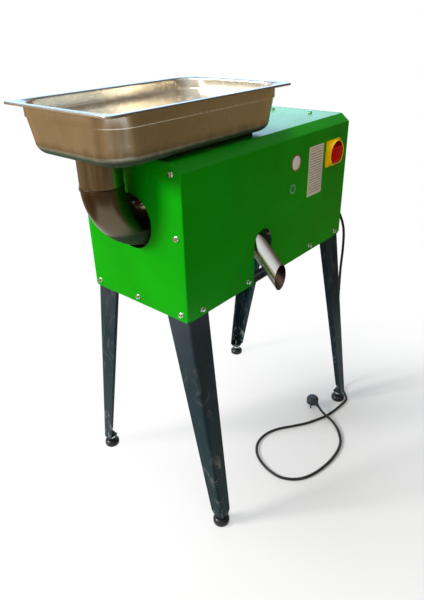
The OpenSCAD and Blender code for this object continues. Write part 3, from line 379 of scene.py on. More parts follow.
class Value:
    """A socket of a node tree. Arithmetic on it adds Math nodes."""

    def __init__(self, nodes, socket):
        self.nodes, self.socket = nodes, socket

    def math(self, kind, *others):
        return self.nodes.node("ShaderNodeMath", [self, *others], operation=kind)

    def __add__(self, other): return self.math("ADD", other)
    def __sub__(self, other): return self.math("SUBTRACT", other)
    def __mul__(self, other): return self.math("MULTIPLY", other)
    def __truediv__(self, other): return self.math("DIVIDE", other)
    def __gt__(self, other): return self.math("GREATER_THAN", other)
    def __lt__(self, other): return self.math("LESS_THAN", other)
    __radd__ = __add__
    __rmul__ = __mul__

    def __rsub__(self, other):
        return self.nodes.node("ShaderNodeMath", [other, self], operation="SUBTRACT")

    def ramp(self, low, high):
        """0 below low, 1 above high, smooth between."""
        return self.nodes.node("ShaderNodeMapRange", {"Value": self, "From Min": low,
                               "From Max": high}, interpolation_type="SMOOTHSTEP")


class Nodes:
    """A node tree under construction."""

    def __init__(self, tree):
        self.tree = tree
        tree.nodes.clear()

    def link(self, socket, value):
        if isinstance(value, Value):
            self.tree.links.new(value.socket, socket)
        elif hasattr(value, "__len__") and len(value) < len(socket.default_value):
            socket.default_value = (*value, 1.0)
        else:
            socket.default_value = value

    def node(self, kind, sockets=(), out=0, **settings):
        """Any node: its type, the values or links of its sockets, and the output it gives."""
        made = self.tree.nodes.new(kind)
        for name, value in settings.items():
            setattr(made, name, value)
        pairs = sockets.items() if isinstance(sockets, dict) else enumerate(sockets)
        for name, value in pairs:
            self.link(made.inputs[name], value)
        return Value(self, made.outputs[out]) if made.outputs else made

    def here(self):
        return self.node("ShaderNodeTexCoord", out="Object")

    def axis(self, index):
        return self.node("ShaderNodeSeparateXYZ", [self.here()], out=index)

    def apart(self, place):
        """Distance from a place in metres."""
        return self.node("ShaderNodeVectorMath", [self.here(), place], out="Value",
                         operation="DISTANCE")

    def upward(self):
        """How far the surface faces up, from -1 to 1."""
        normal = self.node("ShaderNodeNewGeometry", out="Normal")
        return self.node("ShaderNodeSeparateXYZ", [normal], out=2)

    def noise(self, scale, detail=3.0, rough=0.55, warp=0.0, stretch=(1, 1, 1), over=None):
        """Noise over the object coordinates, or over others, which are stretched first."""
        over = over or self.here()
        place = self.node("ShaderNodeMapping", {"Vector": over, "Scale": stretch})
        return self.node("ShaderNodeTexNoise", {"Vector": place, "Scale": scale,
                         "Detail": detail, "Roughness": rough, "Distortion": warp})

    def blend(self, factor, first, second):
        return self.node("ShaderNodeMix", {0: factor, 6: first, 7: second}, out=2,
                         data_type="RGBA")

    def tint(self, base, amount):
        """A colour made lighter or darker by a number round 1."""
        return self.node("ShaderNodeVectorMath", {0: base, "Scale": amount}, operation="SCALE")

    def bump(self, height, strength, distance, over=None):
        sockets = {"Height": height, "Strength": strength, "Distance": distance}
        if over is not None:
            sockets["Normal"] = over
        return self.node("ShaderNodeBump", sockets)


class Finish(Nodes):
    """A material under construction, with one Principled shader."""

    def __init__(self, name, **shader):
        self.material = bpy.data.materials.new(name)
        self.material.use_nodes = True
        super().__init__(self.material.node_tree)
        self.shader = self.tree.nodes.new("ShaderNodeBsdfPrincipled")
        self.output = self.node("ShaderNodeOutputMaterial")
        self.show(Value(self, self.shader.outputs[0]))
        self.set(**shader)

    def show(self, surface):
        self.link(self.output.inputs["Surface"], surface)

    def set(self, **shader):
        """Sets sockets of the shader: Base_Color stands for Base Color."""
        for name, value in shader.items():
            self.link(self.shader.inputs[name.replace("_", " ")], value)


def lighter(base, times, plus=0.0):
    return tuple(min(1.0, c * times + plus) for c in base)


def enamel(name, base, rough, orange_peel=0.05, dust=0.12, wave=0.0, low=None, gloss=0.12,
           marks=0.0):
    """Sprayed enamel: orange peel, slow waves of the sheet, a film of dust that lies on
    what faces up, fine rubbed patches, chips along the lower edge, and on the stand a paler
    purple-grey cast towards the top and pale scrapes that are thickest near the floor."""
    f = Finish(name, Specular_IOR_Level=gloss)
    patch = f.noise(4.5, 3, 0.5, 0.6)
    speck = f.noise(420, 2, 0.6)
    film = f.upward().ramp(0.8, 0.98) * f.noise(22, 5, 0.65).ramp(0.35, 0.75) * dust
    paint = f.tint(base, 0.7 + 0.6 * patch)
    paint = f.blend(speck.ramp(0.62, 0.75) * 0.1, paint, lighter(base, 1.6, 0.05))
    paint = f.blend(film, paint, rgb("b9b6a8"))
    scuff = f.noise(60, 6, 0.7, 1.5, stretch=(1, 1, 0.25)).ramp(0.66, 0.72)
    if low is not None:
        near = 1 - f.axis(2).ramp(low, low + 0.02)
        chip = f.noise(260, 4, 0.7).ramp(0.60, 0.66) * near
        paint = f.blend(chip * 0.85, paint, rgb("3b3a36"))
    if marks:
        # Paler and purple-grey in patches towards the top of the stand.
        paler_top = f.axis(2).ramp(0.38, 0.6) * f.noise(3, 3, 0.5).ramp(0.3, 0.7)
        paint = f.blend(paler_top * marks * 0.33, paint, rgb("848090"))
        scrape = f.noise(17, 7, 0.72, 2.6, stretch=(1, 1, 0.5)).ramp(0.53, 0.62)
        scrape = scrape * (0.2 + 0.8 * (1 - f.axis(2).ramp(0.1, 0.3)))
        scrape = scrape * f.noise(9, 2, 0.5).ramp(0.36, 0.56)
        paint = f.blend(scrape * marks, paint, rgb("a39c92"))
        cloud = f.noise(4, 4, 0.6, 0.8).ramp(0.45, 0.75)
        paint = f.blend(cloud * marks * 0.12, paint, rgb("6d7474"))
    normal = f.bump(f.noise(850, 2, 0.5), orange_peel, 0.0004)
    if wave:
        normal = f.bump(f.noise(9, 1, 0.4), wave, 0.004, normal)
    f.set(Base_Color=paint, Roughness=rough + scuff * 0.14 + film * 0.5, Normal=normal)
    return f.material


def drawn_steel(name, base, rough, grain=(1, 1, 40), along=900, smear=0.35, shade_below=None, rim=None):
    """Stainless sheet: fine parallel grain, cloudy smears of water and hand marks and a few
    bright scratches. Painted shade darkens what faces out or down below the height
    shade_below, with a dark green painted reflection of the casing in its lowest band, and
    what is above the height rim is tinted blue-grey as a painted reflection of the sky."""
    f = Finish(name, Metallic=1.0)
    fine = f.noise(along, 3, 0.6, stretch=grain)
    cloud = f.noise(9, 5, 0.6, 0.6)
    spots = f.noise(46, 4, 0.6).ramp(0.56, 0.74)
    scratch = f.noise(190, 2, 0.4, 2.5, stretch=(1, 0.18, 1)).ramp(0.70, 0.72)
    shade = f.tint(base, 0.86 + 0.12 * fine + 0.16 * cloud)
    shade = f.blend(spots * smear * 0.35, shade, lighter(base, 0.72))
    shade = f.blend(scratch * 0.5, shade, lighter(base, 1.35))
    rough = rough + fine * 0.1 + cloud * smear * 0.3 - scratch * 0.05
    # Painted shade: below the height shade_below, what faces out or down is darkened, and its
    # lowest band is painted dark green and made less metallic as a painted reflection of the green
    # casing.
    if shade_below is not None:
        edge_wobble = f.noise(38, 4, 0.6, 0.5, stretch=(1, 1, 0.3)) * 0.03
        height = f.axis(2)
        outside = 1 - f.upward().ramp(-0.06, 0.06)
        painted_shade = (1 - (height - edge_wobble).ramp(shade_below - 0.012, shade_below + 0.016)) * 0.6 * outside
        painted_green_band = (1 - (height - 0.15 * edge_wobble).ramp(shade_below + 0.002, shade_below + 0.014)) * 0.95 * outside
        shade = f.blend(painted_green_band, f.blend(painted_shade, shade, rgb("4d4f3c")), rgb("123818"))
        rough = rough + painted_green_band * 0.6
        f.set(Metallic=1 - painted_green_band)
    if rim is not None:
        # Painted reflection: above the height rim the steel is tinted blue-grey as if it showed the
        # sky.
        painted_sky_tint = f.tint(rgb("9ea3aa"), 0.85 + 0.2 * cloud)
        shade = f.blend(f.axis(2).ramp(rim - 0.002, rim), shade, painted_sky_tint)
    f.set(Base_Color=shade, Roughness=rough, Normal=f.bump(fine, 0.04, 0.0003))
    return f.material


def spout_tube(name, base):
    """Polished tube at 45 degrees: streaks drawn along it, a pinkish-brown painted reflection
    over one side, painted shade and reflection in dark olive on its underside, and a brown
    bore, partly residue and partly painted shade, which is where u^2 + v^2 from the axis is small."""
    f = Finish(name, Metallic=1.0)
    low, high = (corner / 1000 for corner in box_mm("juice_spout"))
    radius = (high[0] - low[0]) / 2
    u = f.axis(0) - (MID + SPOUT_X / 1000)
    v = (f.axis(2) - f.axis(1) - (low[2] + radius * math.sqrt(2) - low[1])) / math.sqrt(2)
    along = f.node("ShaderNodeCombineXYZ", [u, v, (f.axis(2) + f.axis(1)) * 0.04])
    broad, fine = (f.noise(scale, 4.0, 0.5, over=along) for scale in (90, 1400))
    # Inside the bore: brown residue and painted shade.
    bore = u * u + v * v < (radius - 0.0008) ** 2
    # Painted shade and painted reflection: what faces down outside is dark olive and hardly
    # metallic.
    under = (1 - f.upward().ramp(-0.25, 0.15)) * (1 - bore)
    # Painted reflection: a pinkish-brown tint over one side of the tube.
    brown_side = (u / radius).ramp(-0.45, 0.15)
    shade = f.tint(base, 0.78 + 0.14 * fine + 0.16 * broad)
    shade = f.blend(brown_side * (0.5 + 0.5 * broad), shade, f.tint(rgb("8d766c"), 0.8 + 0.3 * fine))
    shade = f.blend(under * 0.92, shade, f.tint(rgb("252b1b"), 0.6 + 0.8 * broad))
    shade = f.blend(bore * (0.72 + 0.2 * broad), shade, rgb("4a2f20"))
    f.set(Base_Color=shade, Metallic=1 - under * 0.9, Roughness=0.1 + 0.12 * broad + 0.2 * bore,
          Normal=f.bump(fine, 0.06, 0.0003))
    return f.material


def plating(name, base, rough):
    """Zinc plating: a faint bluish and yellowish bloom and tiny pits."""
    f = Finish(name, Metallic=1.0)
    bloom = f.noise(140, 3, 0.6)
    shade = f.blend(bloom.ramp(0.35, 0.65), lighter(base, 0.9),
                    (base[0] * 1.02, base[1] * 0.99, base[2] * 0.88))
    f.set(Base_Color=shade, Roughness=rough + f.noise(500, 2) * 0.2,
          Normal=f.bump(f.noise(900, 3), 0.12, 0.0002))
    return f.material


def rubber(name, base, dust, grain=700.0, rough=0.62):
    """Moulded rubber: a fine even grain, greyed where dust has settled."""
    f = Finish(name, Specular_IOR_Level=0.35)
    film = f.noise(60, 5, 0.7).ramp(0.4, 0.7) * dust
    shade = f.blend(film, f.tint(base, 0.85 + 0.3 * f.noise(90, 3)), rgb("6f6c66"))
    f.set(Base_Color=shade, Roughness=rough + film * 0.3,
          Normal=f.bump(f.noise(grain, 3, 0.6), 0.2, 0.0003))
    return f.material


def plastic(name, base, rough, gloss=0.3):
    """Injection-moulded plastic: slight flow marks, a soft skin and fine rub marks."""
    f = Finish(name, Specular_IOR_Level=gloss)
    flow = f.noise(35, 3, 0.5, 1.0)
    rub = f.noise(240, 5, 0.7, 1.0, stretch=(1, 1, 0.2)).ramp(0.62, 0.7)
    shade = f.tint(base, 0.92 + 0.14 * flow)
    shade = f.blend(rub * 0.18, shade, lighter(base, 1.15, 0.05))
    f.set(Base_Color=shade, Roughness=rough + rub * 0.2 + flow * 0.06,
          Normal=f.bump(f.noise(1400, 2, 0.5), 0.05, 0.0002))
    return f.material


def ruled_plate(name, base, ink, header):
    """Blank plate: a pale rim round evenly ruled lines, with one coloured line on top."""
    f = Finish(name, Roughness=0.42, Specular_IOR_Level=0.3)
    low, high = (at(corner) for corner in box_mm("instruction_plate"))
    x, z = f.axis(0), f.axis(2)
    inside = ((x > low[0] + PLATE_RIM) * (x < high[0] - PLATE_RIM)
              * (z > low[2] + PLATE_RIM) * (z < high[2] - PLATE_RIM))
    rule = ((z - low[2]) / PLATE_RULE).math("FRACT").math("PINGPONG", 0.5).ramp(0.22, 0.34)
    top = z > high[2] - PLATE_RIM - 2 * PLATE_RULE
    worn = 0.55 + 0.45 * f.noise(120, 4, 0.6).ramp(0.3, 0.7)
    line = rule * inside
    shade = f.tint(base, 0.88 + 0.2 * f.noise(60, 4))
    shade = f.blend(line * (1 - top) * worn * 0.75, shade, ink)
    shade = f.blend(line * top * worn * 0.8, shade, header)
    f.set(Base_Color=shade, Normal=f.bump(line, 0.15, 0.0002))
    return f.material


def stickers(name, paint):
    """Two blank stickers: a white disc with a red edge, and a thin pale ring on clear film."""
    f = Finish(name, Roughness=0.38, Specular_IOR_Level=0.3)
    big, small = (f.apart(tuple(at((x, -HY, z)))) for x, z, _ in STICKERS)
    r_big, r_small = (r / 1000 for _, _, r in STICKERS)
    worn = f.noise(300, 4, 0.6)
    white = f.tint(rgb("f1eaee"), 0.86 + 0.2 * worn)
    film = f.tint(paint, 0.75 + 0.3 * worn)
    ring = (small > r_small * 0.66) * (small < r_small * 0.9)
    edge = big > r_big * 0.86
    shade = f.blend(edge, white, f.tint(rgb("a3161d"), 0.8 + 0.3 * worn))
    shade = f.blend(big > r_big * 1.2, shade, f.blend(ring * 0.8, film, rgb("7ccdb4")))
    f.set(Base_Color=shade, Normal=f.bump(worn, 0.08, 0.0002))
    return f.material


# ---------------------------------------------------------------- casing and stand

ALONG, INWARD, UP = np.eye(3)
# Half length and half width, lower edge, top and drum axis, what a slope takes off the side
# and off the top, which corners are folded, the sheet and how deep the end plates' rims are.
HX, HY = 337.5, 157.5
BASE_Z, TOP_Z, AXIS_Z = 595.0, 945.0, 780.0
SLOPE = (24.0, 20.0)
FOLDS = np.array([0, 1, 1, 1, 1, 0])
SHEET, RIM = 2.0, 8.0
# The inlet's hole, the spout and its notch, and the seam above the notch.
HOLE_Z, HOLE_R = BASE_Z + 204, 63.5
SPOUT_X, SPOUT_WALL, NOTCH_R, NOTCH_Z, SPLIT_Z = -61.0, 1.5, 36.0, 695.0, 770.0
# Rim and spacing of the rules of the plate in metres, and x, z and radius of the stickers.
PLATE_RIM, PLATE_RULE = 0.004, 0.0068
STICKERS = ((73.0, 863.0, 20.5), (62.0, 799.0, 13.5))
# Screws in (y, z) on the ends, in x and z on the sides and in (x, y) on top.
END_SCREWS = ((131.5, 923), (136.5, 790), (138.5, 611))
LOW_SCREWS, LOW_SCREW_Z = (-289.5, -120.5, 164.5, 305.5), 611
TOP_SCREW = (287.5, 62)


def casing_corners(d, bottom=BASE_Z):
    """Corners of the casing's cross-section in (y, z), drawn in by d. Each slope meets its
    neighbours at d * tan(half the turn between them) from their old corner."""
    turn = math.atan2(*SLOPE)
    low = TOP_Z - SLOPE[1] - d * math.tan(turn / 2)
    high = HY - SLOPE[0] - d * math.tan(math.pi / 4 - turn / 2)
    half = [(HY - d, bottom), (HY - d, low), (high, TOP_Z - d)]
    return [(-y, z) for y, z in half] + half[::-1]


def carried_along(path, xs):
    """A (y, z) path repeated at each x: rows along x, columns along the path."""
    return surface(np.reshape(xs, (-1, 1)), *path.T)


def hex_screw(centre, axis, size, reach):
    """Flanged hexagon screw: its washer, its head and the shank behind it."""
    axis = np.asarray(axis, float)
    r = size / 2
    washer = [(0, 0), (1.05 * size - 0.3, 0), (1.05 * size, 0.3), (1.05 * size, 0.9),
              (0.98 * size, 1.25), (0, 1.25)]
    shank = [(0, -reach), (r - 0.6, -reach), (r, -reach + 0.6), (r, 0.1), (0, 0.1)]
    return [turned(washer, centre, axis, 24), turned(shank, centre, axis, 12),
            hexed(np.asarray(centre) + axis * 1.2, axis, 1.524 * size, 0.7 * size, count=24)]


class STRAINER_OT_casing(Operator):
    """Folded shell of the casing with the notch for the spout, and its two end plates"""
    bl_idname = "strainer.casing"
    bl_label = "Casing"

    def execute(self, context):
        look = context.scene.strainer_casing
        bend, edge = look.bend * 1000, look.edge * 1000
        self.shell(bend)
        self.inlet_plate(bend, edge)
        softened("drive_end_plate", 0.7, 3)
        self.screws()
        softened("base_frame", 0.7)
        return {"FINISHED"}

    def shell(self, bend):
        """The sheet's path runs over the folds at every x. Below z = 770 on the switch's side
        it ends at 595, or inside the notch at 695 + sqrt(36^2 - (x + 61)^2)."""
        end = HX - RIM
        left = np.linspace(-end, SPOUT_X - NOTCH_R, 9)
        right = np.linspace(SPOUT_X + NOTCH_R, end, 12)
        middle = SPOUT_X - NOTCH_R * np.cos(np.linspace(0, math.pi, 33))
        arch = NOTCH_Z + np.sqrt(np.maximum(NOTCH_R ** 2 - (middle - SPOUT_X) ** 2, 0))
        xs = np.concatenate([left, middle[1:-1], right])

        def face(d, columns, bottom, top, count=9):
            t = np.linspace(0, 1, count)
            z = np.reshape(bottom, (-1, 1)) * (1 - t) + top * t
            return surface(columns[:, None], -HY + d, z)

        def skin(d):
            corners = casing_corners(d)
            corners[0] = (-HY + d, SPLIT_Z)
            path = filleted(corners, FOLDS * bend - d, 3)
            lower = []
            for columns in (left, right):
                lower += [face(d, columns, BASE_Z, NOTCH_Z, 5), face(d, columns, NOTCH_Z, SPLIT_Z)]
            return [carried_along(path, xs), *lower, face(d, middle, arch, SPLIT_Z)]

        grids = []
        for outer, inner, rims in zip(skin(0), skin(SHEET), ("tbr", "tbl", "t", "tbl", "b", "l")):
            grids += thick(outer, inner, rims)
        for side in (-1, 1):
            grids += self.return_flange(side, bend)
        make("body_shell", grids, name="Casing shell")

    def return_flange(self, side, bend):
        """Angle joggled in behind each end plate: in from 315.5 to 335.5, then 25 inwards."""
        def row(x, d):
            path = filleted(casing_corners(d, BASE_Z + 31), FOLDS * bend - min(d, bend - 0.6), 3)
            return carried_along(path, [side * x])[0]

        outer = [(315.5, 2.0), (334.7, 2.0), (335.5, 2.8), (335.5, 29.0)]
        inner = [(315.5, 4.0), (333.2, 4.0), (333.5, 4.3), (333.5, 29.0)]
        return thick(*(np.stack([row(x, d) for x, d in profile]) for profile in (outer, inner)))

    def inlet_plate(self, bend, edge):
        """Each row of the face is a blend of the hole's circle and the plate's outline. At the
        outline it turns through a quarter circle into a rim, which fades out at the bottom."""
        foot_radius = 7.0

        def outline(d):
            radii = FOLDS * bend + (1 - FOLDS) * foot_radius - min(d, 4.0) * 0.9
            return filleted(casing_corners(d), radii, 7, closed=True)

        def on_hole(line, radius):
            """Points (y, z) moved along their rays from the hole's middle onto its circle."""
            away = line - [0, HOLE_Z]
            return [0, HOLE_Z] + away / np.linalg.norm(away, axis=1, keepdims=True) * radius

        lowest = outline(0)
        depth = np.clip((lowest[:, 1] - BASE_Z) / foot_radius, 0, 1) ** 0.5
        under = np.abs(lowest[:, 0]) < HY - foot_radius - 0.5
        depth[under] *= lowest[under, 1] > BASE_Z + 20
        rimmed = depth[:, None] > 0.01

        def skin(x_face, r_edge, inset):
            rows = []
            ring = outline(inset + r_edge)
            circle = on_hole(ring, HOLE_R + 0.5)
            ring = np.where(rimmed, ring, lowest)
            for s in np.linspace(0, 1, 9)[:-1]:
                rows.append(np.column_stack([np.full(len(ring), x_face),
                                             circle * (1 - s) + ring * s]))
            for a in np.radians(np.linspace(0, 90, 7)):
                line = np.where(rimmed, outline(inset + (1 - math.sin(a)) * r_edge), lowest)
                rows.append(np.column_stack([x_face - (1 - math.cos(a)) * r_edge * depth, line]))
            rows.append(np.column_stack([x_face + (HX - RIM - x_face) * depth, line]))
            return np.stack(rows)

        outer, inner = skin(HX, edge, 0.0), skin(HX - SHEET, max(edge - SHEET, 0.4), SHEET)
        for sheet, x in ((outer, HX - 0.5), (inner, HX - SHEET)):
            sheet[0, :, 1:] = on_hole(sheet[0, :, 1:], HOLE_R)
            sheet[0, :, 0] = x
            sheet[..., 0] *= -1
        make("inlet_end_plate", thick(outer, inner, "tb", ring=True))

    def screws(self):
        signs = (-1, 1)
        ends = [(s * y, z) for s in signs for y, z in END_SCREWS] + [(0, LOW_SCREW_Z)]
        places = [((s * HX, y, z), s * ALONG) for s in signs for y, z in ends]
        places += [((x, s * HY, LOW_SCREW_Z), s * INWARD) for s in signs for x in LOW_SCREWS]
        places += [((sx * TOP_SCREW[0], sy * TOP_SCREW[1], TOP_Z), UP)
                   for sx in signs for sy in signs]
        grids = [g for centre, axis in places for g in hex_screw(centre, axis, 6.0, 14.0)]
        make("casing_screws", grids)


# Ridge of a leg: its x, its y at the top and how far it leans out. Widths of a leg's
# flanges at the top, over the foot and at the toe. Middle of a foot.
RIDGE_X, RIDGE_Y, LEAN = 333.5, 155.5, 84.0
LEG_TOP, LEG_LOW, TOE = 66.0, 34.0, 27.0
LEG_SHEET, LEG_Z = 4.0, 32.0
# Corners of the two plates welded into a leg, over its foot and under the frame.
LEG_PLATES = (((303.5, 209.5, LEG_Z), (331.5, 237.5, LEG_Z + 4)),
              ((273.5, 125.5, BASE_Z - 4), (331.5, 153.5, BASE_Z)))
FOOT_X, FOOT_Y, NUT_Z = 317.0, 223.0, 24
BOLT_XS, BOLT_Y, BOLT_HEAD_Z = (318.5, 295.5), 138.5, BASE_Z + 4


class STRAINER_OT_stand(Operator):
    """Four folded, tapered legs with their foot plates, bolts, nuts and rubber feet"""
    bl_idname = "strainer.stand"
    bl_label = "Stand"

    def execute(self, context):
        look = context.scene.strainer_stand
        corners = [(sx, sy) for sx in (-1, 1) for sy in (-1, 1)]
        for sx, sy in corners:
            name = f"{'front' if sy < 0 else 'back'}_{'inlet' if sx < 0 else 'drive'}"
            make(f"leg_{name}", self.leg(sx, sy, look.bend * 1000))
            make(f"foot_{name}", self.foot(sx, sy, look.thread_pitch * 1000))
        nuts = [hexed((sx * FOOT_X, sy * FOOT_Y, NUT_Z), UP, 19, 8, bore=6.05)
                for sx, sy in corners]
        make("foot_nuts", nuts)
        bolts = []
        shank = [(0, -17), (3.4, -17), (4, -16.4), (4, 0), (0, 0)]
        for x, y in [(sx * x, sy * BOLT_Y) for sx, sy in corners for x in BOLT_XS]:
            bolts += [hexed((x, y, BOLT_HEAD_Z), UP, 13, 5.3),
                      hexed((x, y, BOLT_HEAD_Z - 14.5), UP, 13, 6.5),
                      turned(shank, (x, y, BOLT_HEAD_Z), UP, 20)]
        make("leg_bolts", bolts)
        return {"FINISHED"}

    def leg(self, sx, sy, bend):
        """Angle section with flanges of width w(z), lofted from the frame to the foot. Its
        ridge is at x = 333.5 and leans out from y = 155.5 at the top to 239.5 at the foot."""
        z = np.concatenate([[LEG_Z, LEG_Z + 5, LEG_Z + 10], np.linspace(LEG_Z + 30, BASE_Z, 15)])
        drop = BASE_Z - z
        ridge = RIDGE_Y + LEAN * drop / (BASE_Z - LEG_Z)
        width = LEG_TOP - (LEG_TOP - LEG_LOW) * drop / (BASE_Z - LEG_Z - 10)
        width = np.where(z < LEG_Z + 10, TOE + 0.7 * (z - LEG_Z), width) - 0.4
        t = np.radians(np.linspace(0, 90, 7))

        def skin(d, radius):
            """One flange towards the fold, the fold's quarter circle and the other flange."""
            along = bend + (width[:, None] - bend) * np.linspace(1, 0, 6)[:-1]
            face = np.full_like(along, d)
            fold_x, fold_y = (bend - radius * np.tile(turn, (len(z), 1))
                              for turn in (np.cos(t), np.sin(t)))
            x_in = np.hstack([face, fold_x, along[:, ::-1]])
            y_in = np.hstack([along, fold_y, face])
            return surface(RIDGE_X - x_in, ridge[:, None] - y_in, z[:, None]) * [sx, sy, 1]

        grids = thick(skin(0.0, bend), skin(LEG_SHEET, bend - LEG_SHEET))
        for low, high in LEG_PLATES:
            corners = np.array([low, high]) * [sx, sy, 1]
            grids.append(slab(corners.min(0), corners.max(0), 3))
        return grids

    def foot(self, sx, sy, pitch):
        """Rubber pad with a chamfered top, and a stud whose radius falls and rises once per
        pitch along its height and once per turn: r = 6 - depth * |saw(z / pitch - a)|."""
        pad = [(0, 0.6), (14, 0.6), (15, 0), (19.5, 0), (21.0, 0.9), (21.5, 2.2), (21.5, 11.2),
               (21.2, 12.2), (16.3, 17.4), (15.2, 18.0), (8, 18.0), (8, 17.2), (0, 17.2)]
        z = np.arange(17.5, 59.6, pitch / 6)
        a = ring_angles(28)
        saw = np.abs(np.mod(z[:, None] / pitch - a / (2 * math.pi), 1.0) - 0.5) * 2
        fade = np.clip((60 - z) / 2.0, 0, 1)[:, None]
        radius = (6 - 0.85 * saw) * (0.85 + 0.15 * fade)
        stud = surface(radius * np.cos(a), radius * np.sin(a), z[:, None])
        stud = np.concatenate([stud[:1] * [0, 0, 1], stud, stud[-1:] * [0, 0, 1]])
        centre = (sx * FOOT_X, sy * FOOT_Y, 0.0)
        return [turned(pad, centre, UP, 56), grid(stud + centre, close_ring=True)]


# ---------------------------------------------------------------- hopper and inlet

PAN_X, OUTLET_X = -230.0, -403.0
# The pan's half sizes, the heights of its floor and of its step, the radii of its corners
# and of the floor's edge, how far the walls lean in, and the sheet.
PAN_HALF = (265.0, 162.5)
PAN_Z, STEP_Z, PAN_CORNER, PAN_EDGE, PAN_TAPER, PAN_SHEET = 954.0, 1026.0, 60.0, 26.0, 8.0, 1.2
REST_XS = (-249.5, -39.5)
ELBOW_X, JOINT_Z, BEND_R = -288.7, 894.3, 114.3
PIPE_R, BORE_R = 44.45, 42.45
BOLT_CIRCLE = 56.0


class STRAINER_OT_hopper(Operator):
    """Catering pan, the pipe under its outlet, and the rubber rests under it"""
    bl_idname = "strainer.hopper"
    bl_label = "Hopper"

    def execute(self, context):
        make("hopper_pan", self.pan(), sharp=50)
        pipe = [(BORE_R, PAN_Z), (PIPE_R, PAN_Z), (PIPE_R, 951), (PIPE_R, 896.5), (44.3, 895),
                (43.6, JOINT_Z), (41.85, JOINT_Z), (41.85, 886.6), (41.5, 886.3), (39.9, 886.3),
                (39.85, 886.8), (39.85, 908.5), (BORE_R, 910.5)]
        bead = [(44.2, 953.9), (46.6, 953.7), (46.9, 952.9), (46.2, 951.6), (44.2, 950.6)]
        make("hopper_pipe", [turned(profile, (OUTLET_X, 0, 0), UP, 96, closed=True)
                             for profile in (pipe, bead)])
        make("pan_rests", [slab((x - 10, -100, TOP_Z), (x + 10, 100, TOP_Z + 9), 5, 1.2)
                           for x in REST_XS])
        return {"FINISHED"}

    def pan(self):
        """Rounded rectangles stacked by the pan's profile of (inset, height, corner radius).
        The floor then blends into the circle of the outlet."""
        a = np.radians(np.linspace(0, 90, 11))
        c, e, t, far = PAN_CORNER, PAN_EDGE, PAN_SHEET, 12.0 + PAN_TAPER
        inner = [(0, 1049.5, 14), (0, 1052.9, 14), (0.25, 1053.6, 13.8), (0.9, 1054, 13.2),
                 (5, 1054, 13.2), (10.9, 1054, 0.35 * c), (12.2, 1053.5, 0.5 * c),
                 (12.9, 1052.6, 0.7 * c), (13.2, 1051.2, 0.9 * c), (13.2, 1048, c - t),
                 (13.2, 1030.2, c - t), (13.5, 1029.1, c - 1.5), (14.2, 1028.3, c - 2.1),
                 (15.1, 1027.9, c - 3.2), (15.8, 1027.3, c - 3.8), (16.2, 1026.3, c - 4.2)]
        under = [(1.2, 1049.5, 12.8), (1.2, 1052.2, 12.8), (1.8, 1052.8, 12.6),
                 (10.8, 1052.8, 0.4 * c), (11.7, 1052.4, 0.65 * c), (12, 1051.4, 0.9 * c),
                 (12, 1048, c), (12, 1028, c), (12.4, 1027.2, c - 0.5), (14.2, 1026.8, c - 2.2),
                 (14.8, 1026.2, c - 2.8), (15, 1025.2, c - 3)]
        for rows, r, top_inset, wall in ((inner, e - t, 16.2, far + 2 * t), (under, e, 15.0, far)):
            corner = rows[-1][2]
            rows += [(top_inset + (wall - top_inset) * k, STEP_Z - (STEP_Z - PAN_Z - e) * k,
                      corner + (c - e + r - corner) * k) for k in (0.33, 0.66)]
            rows += [(wall + r * (1 - math.cos(k)), PAN_Z + e - r * math.sin(k),
                      c - e + r * math.cos(k)) for k in a]

        def skin(rows, floor_z, fall):
            inset, height, radius = np.array(rows, float).T
            loops = rounded_loops(PAN_HALF[0] - inset, PAN_HALF[1] - inset, radius, 10, 12)
            points = lifted(loops, height)
            last = points[-1]
            hub = np.array([OUTLET_X - PAN_X, 0.0, 0.0])
            away = (last - hub)[:, :2]
            away /= np.linalg.norm(away, axis=1, keepdims=True)
            floor = []
            for s, r, z in [(s, 44.2, floor_z) for s in (0.25, 0.5, 0.75)] + fall:
                rim = np.column_stack([hub[:2] + away * r, np.full(len(last), z)])
                floor.append(last * (1 - s) + rim * s)
            return np.concatenate([points, np.stack(floor)]) + [PAN_X, 0, 0]

        top = skin(inner, 955.2, [(1, 43.4, 955.2), (1, 42.8, 955.0), (1, BORE_R, 954.5)])
        bottom = skin(under, PAN_Z, [(1, BORE_R, PAN_Z)])
        return thick(top, bottom, "tb", ring=True)


def bend_skin(radius):
    """Quarter torus: the ring at angle a has its middle at R = 114.3 from (ELBOW_X, JOINT_Z)."""
    a, b = np.radians(np.linspace(180, 270, 30))[:, None], ring_angles(72)
    r = BEND_R + radius * np.cos(b)
    return surface(ELBOW_X + r * np.cos(a), radius * np.sin(b), JOINT_Z + r * np.sin(a))


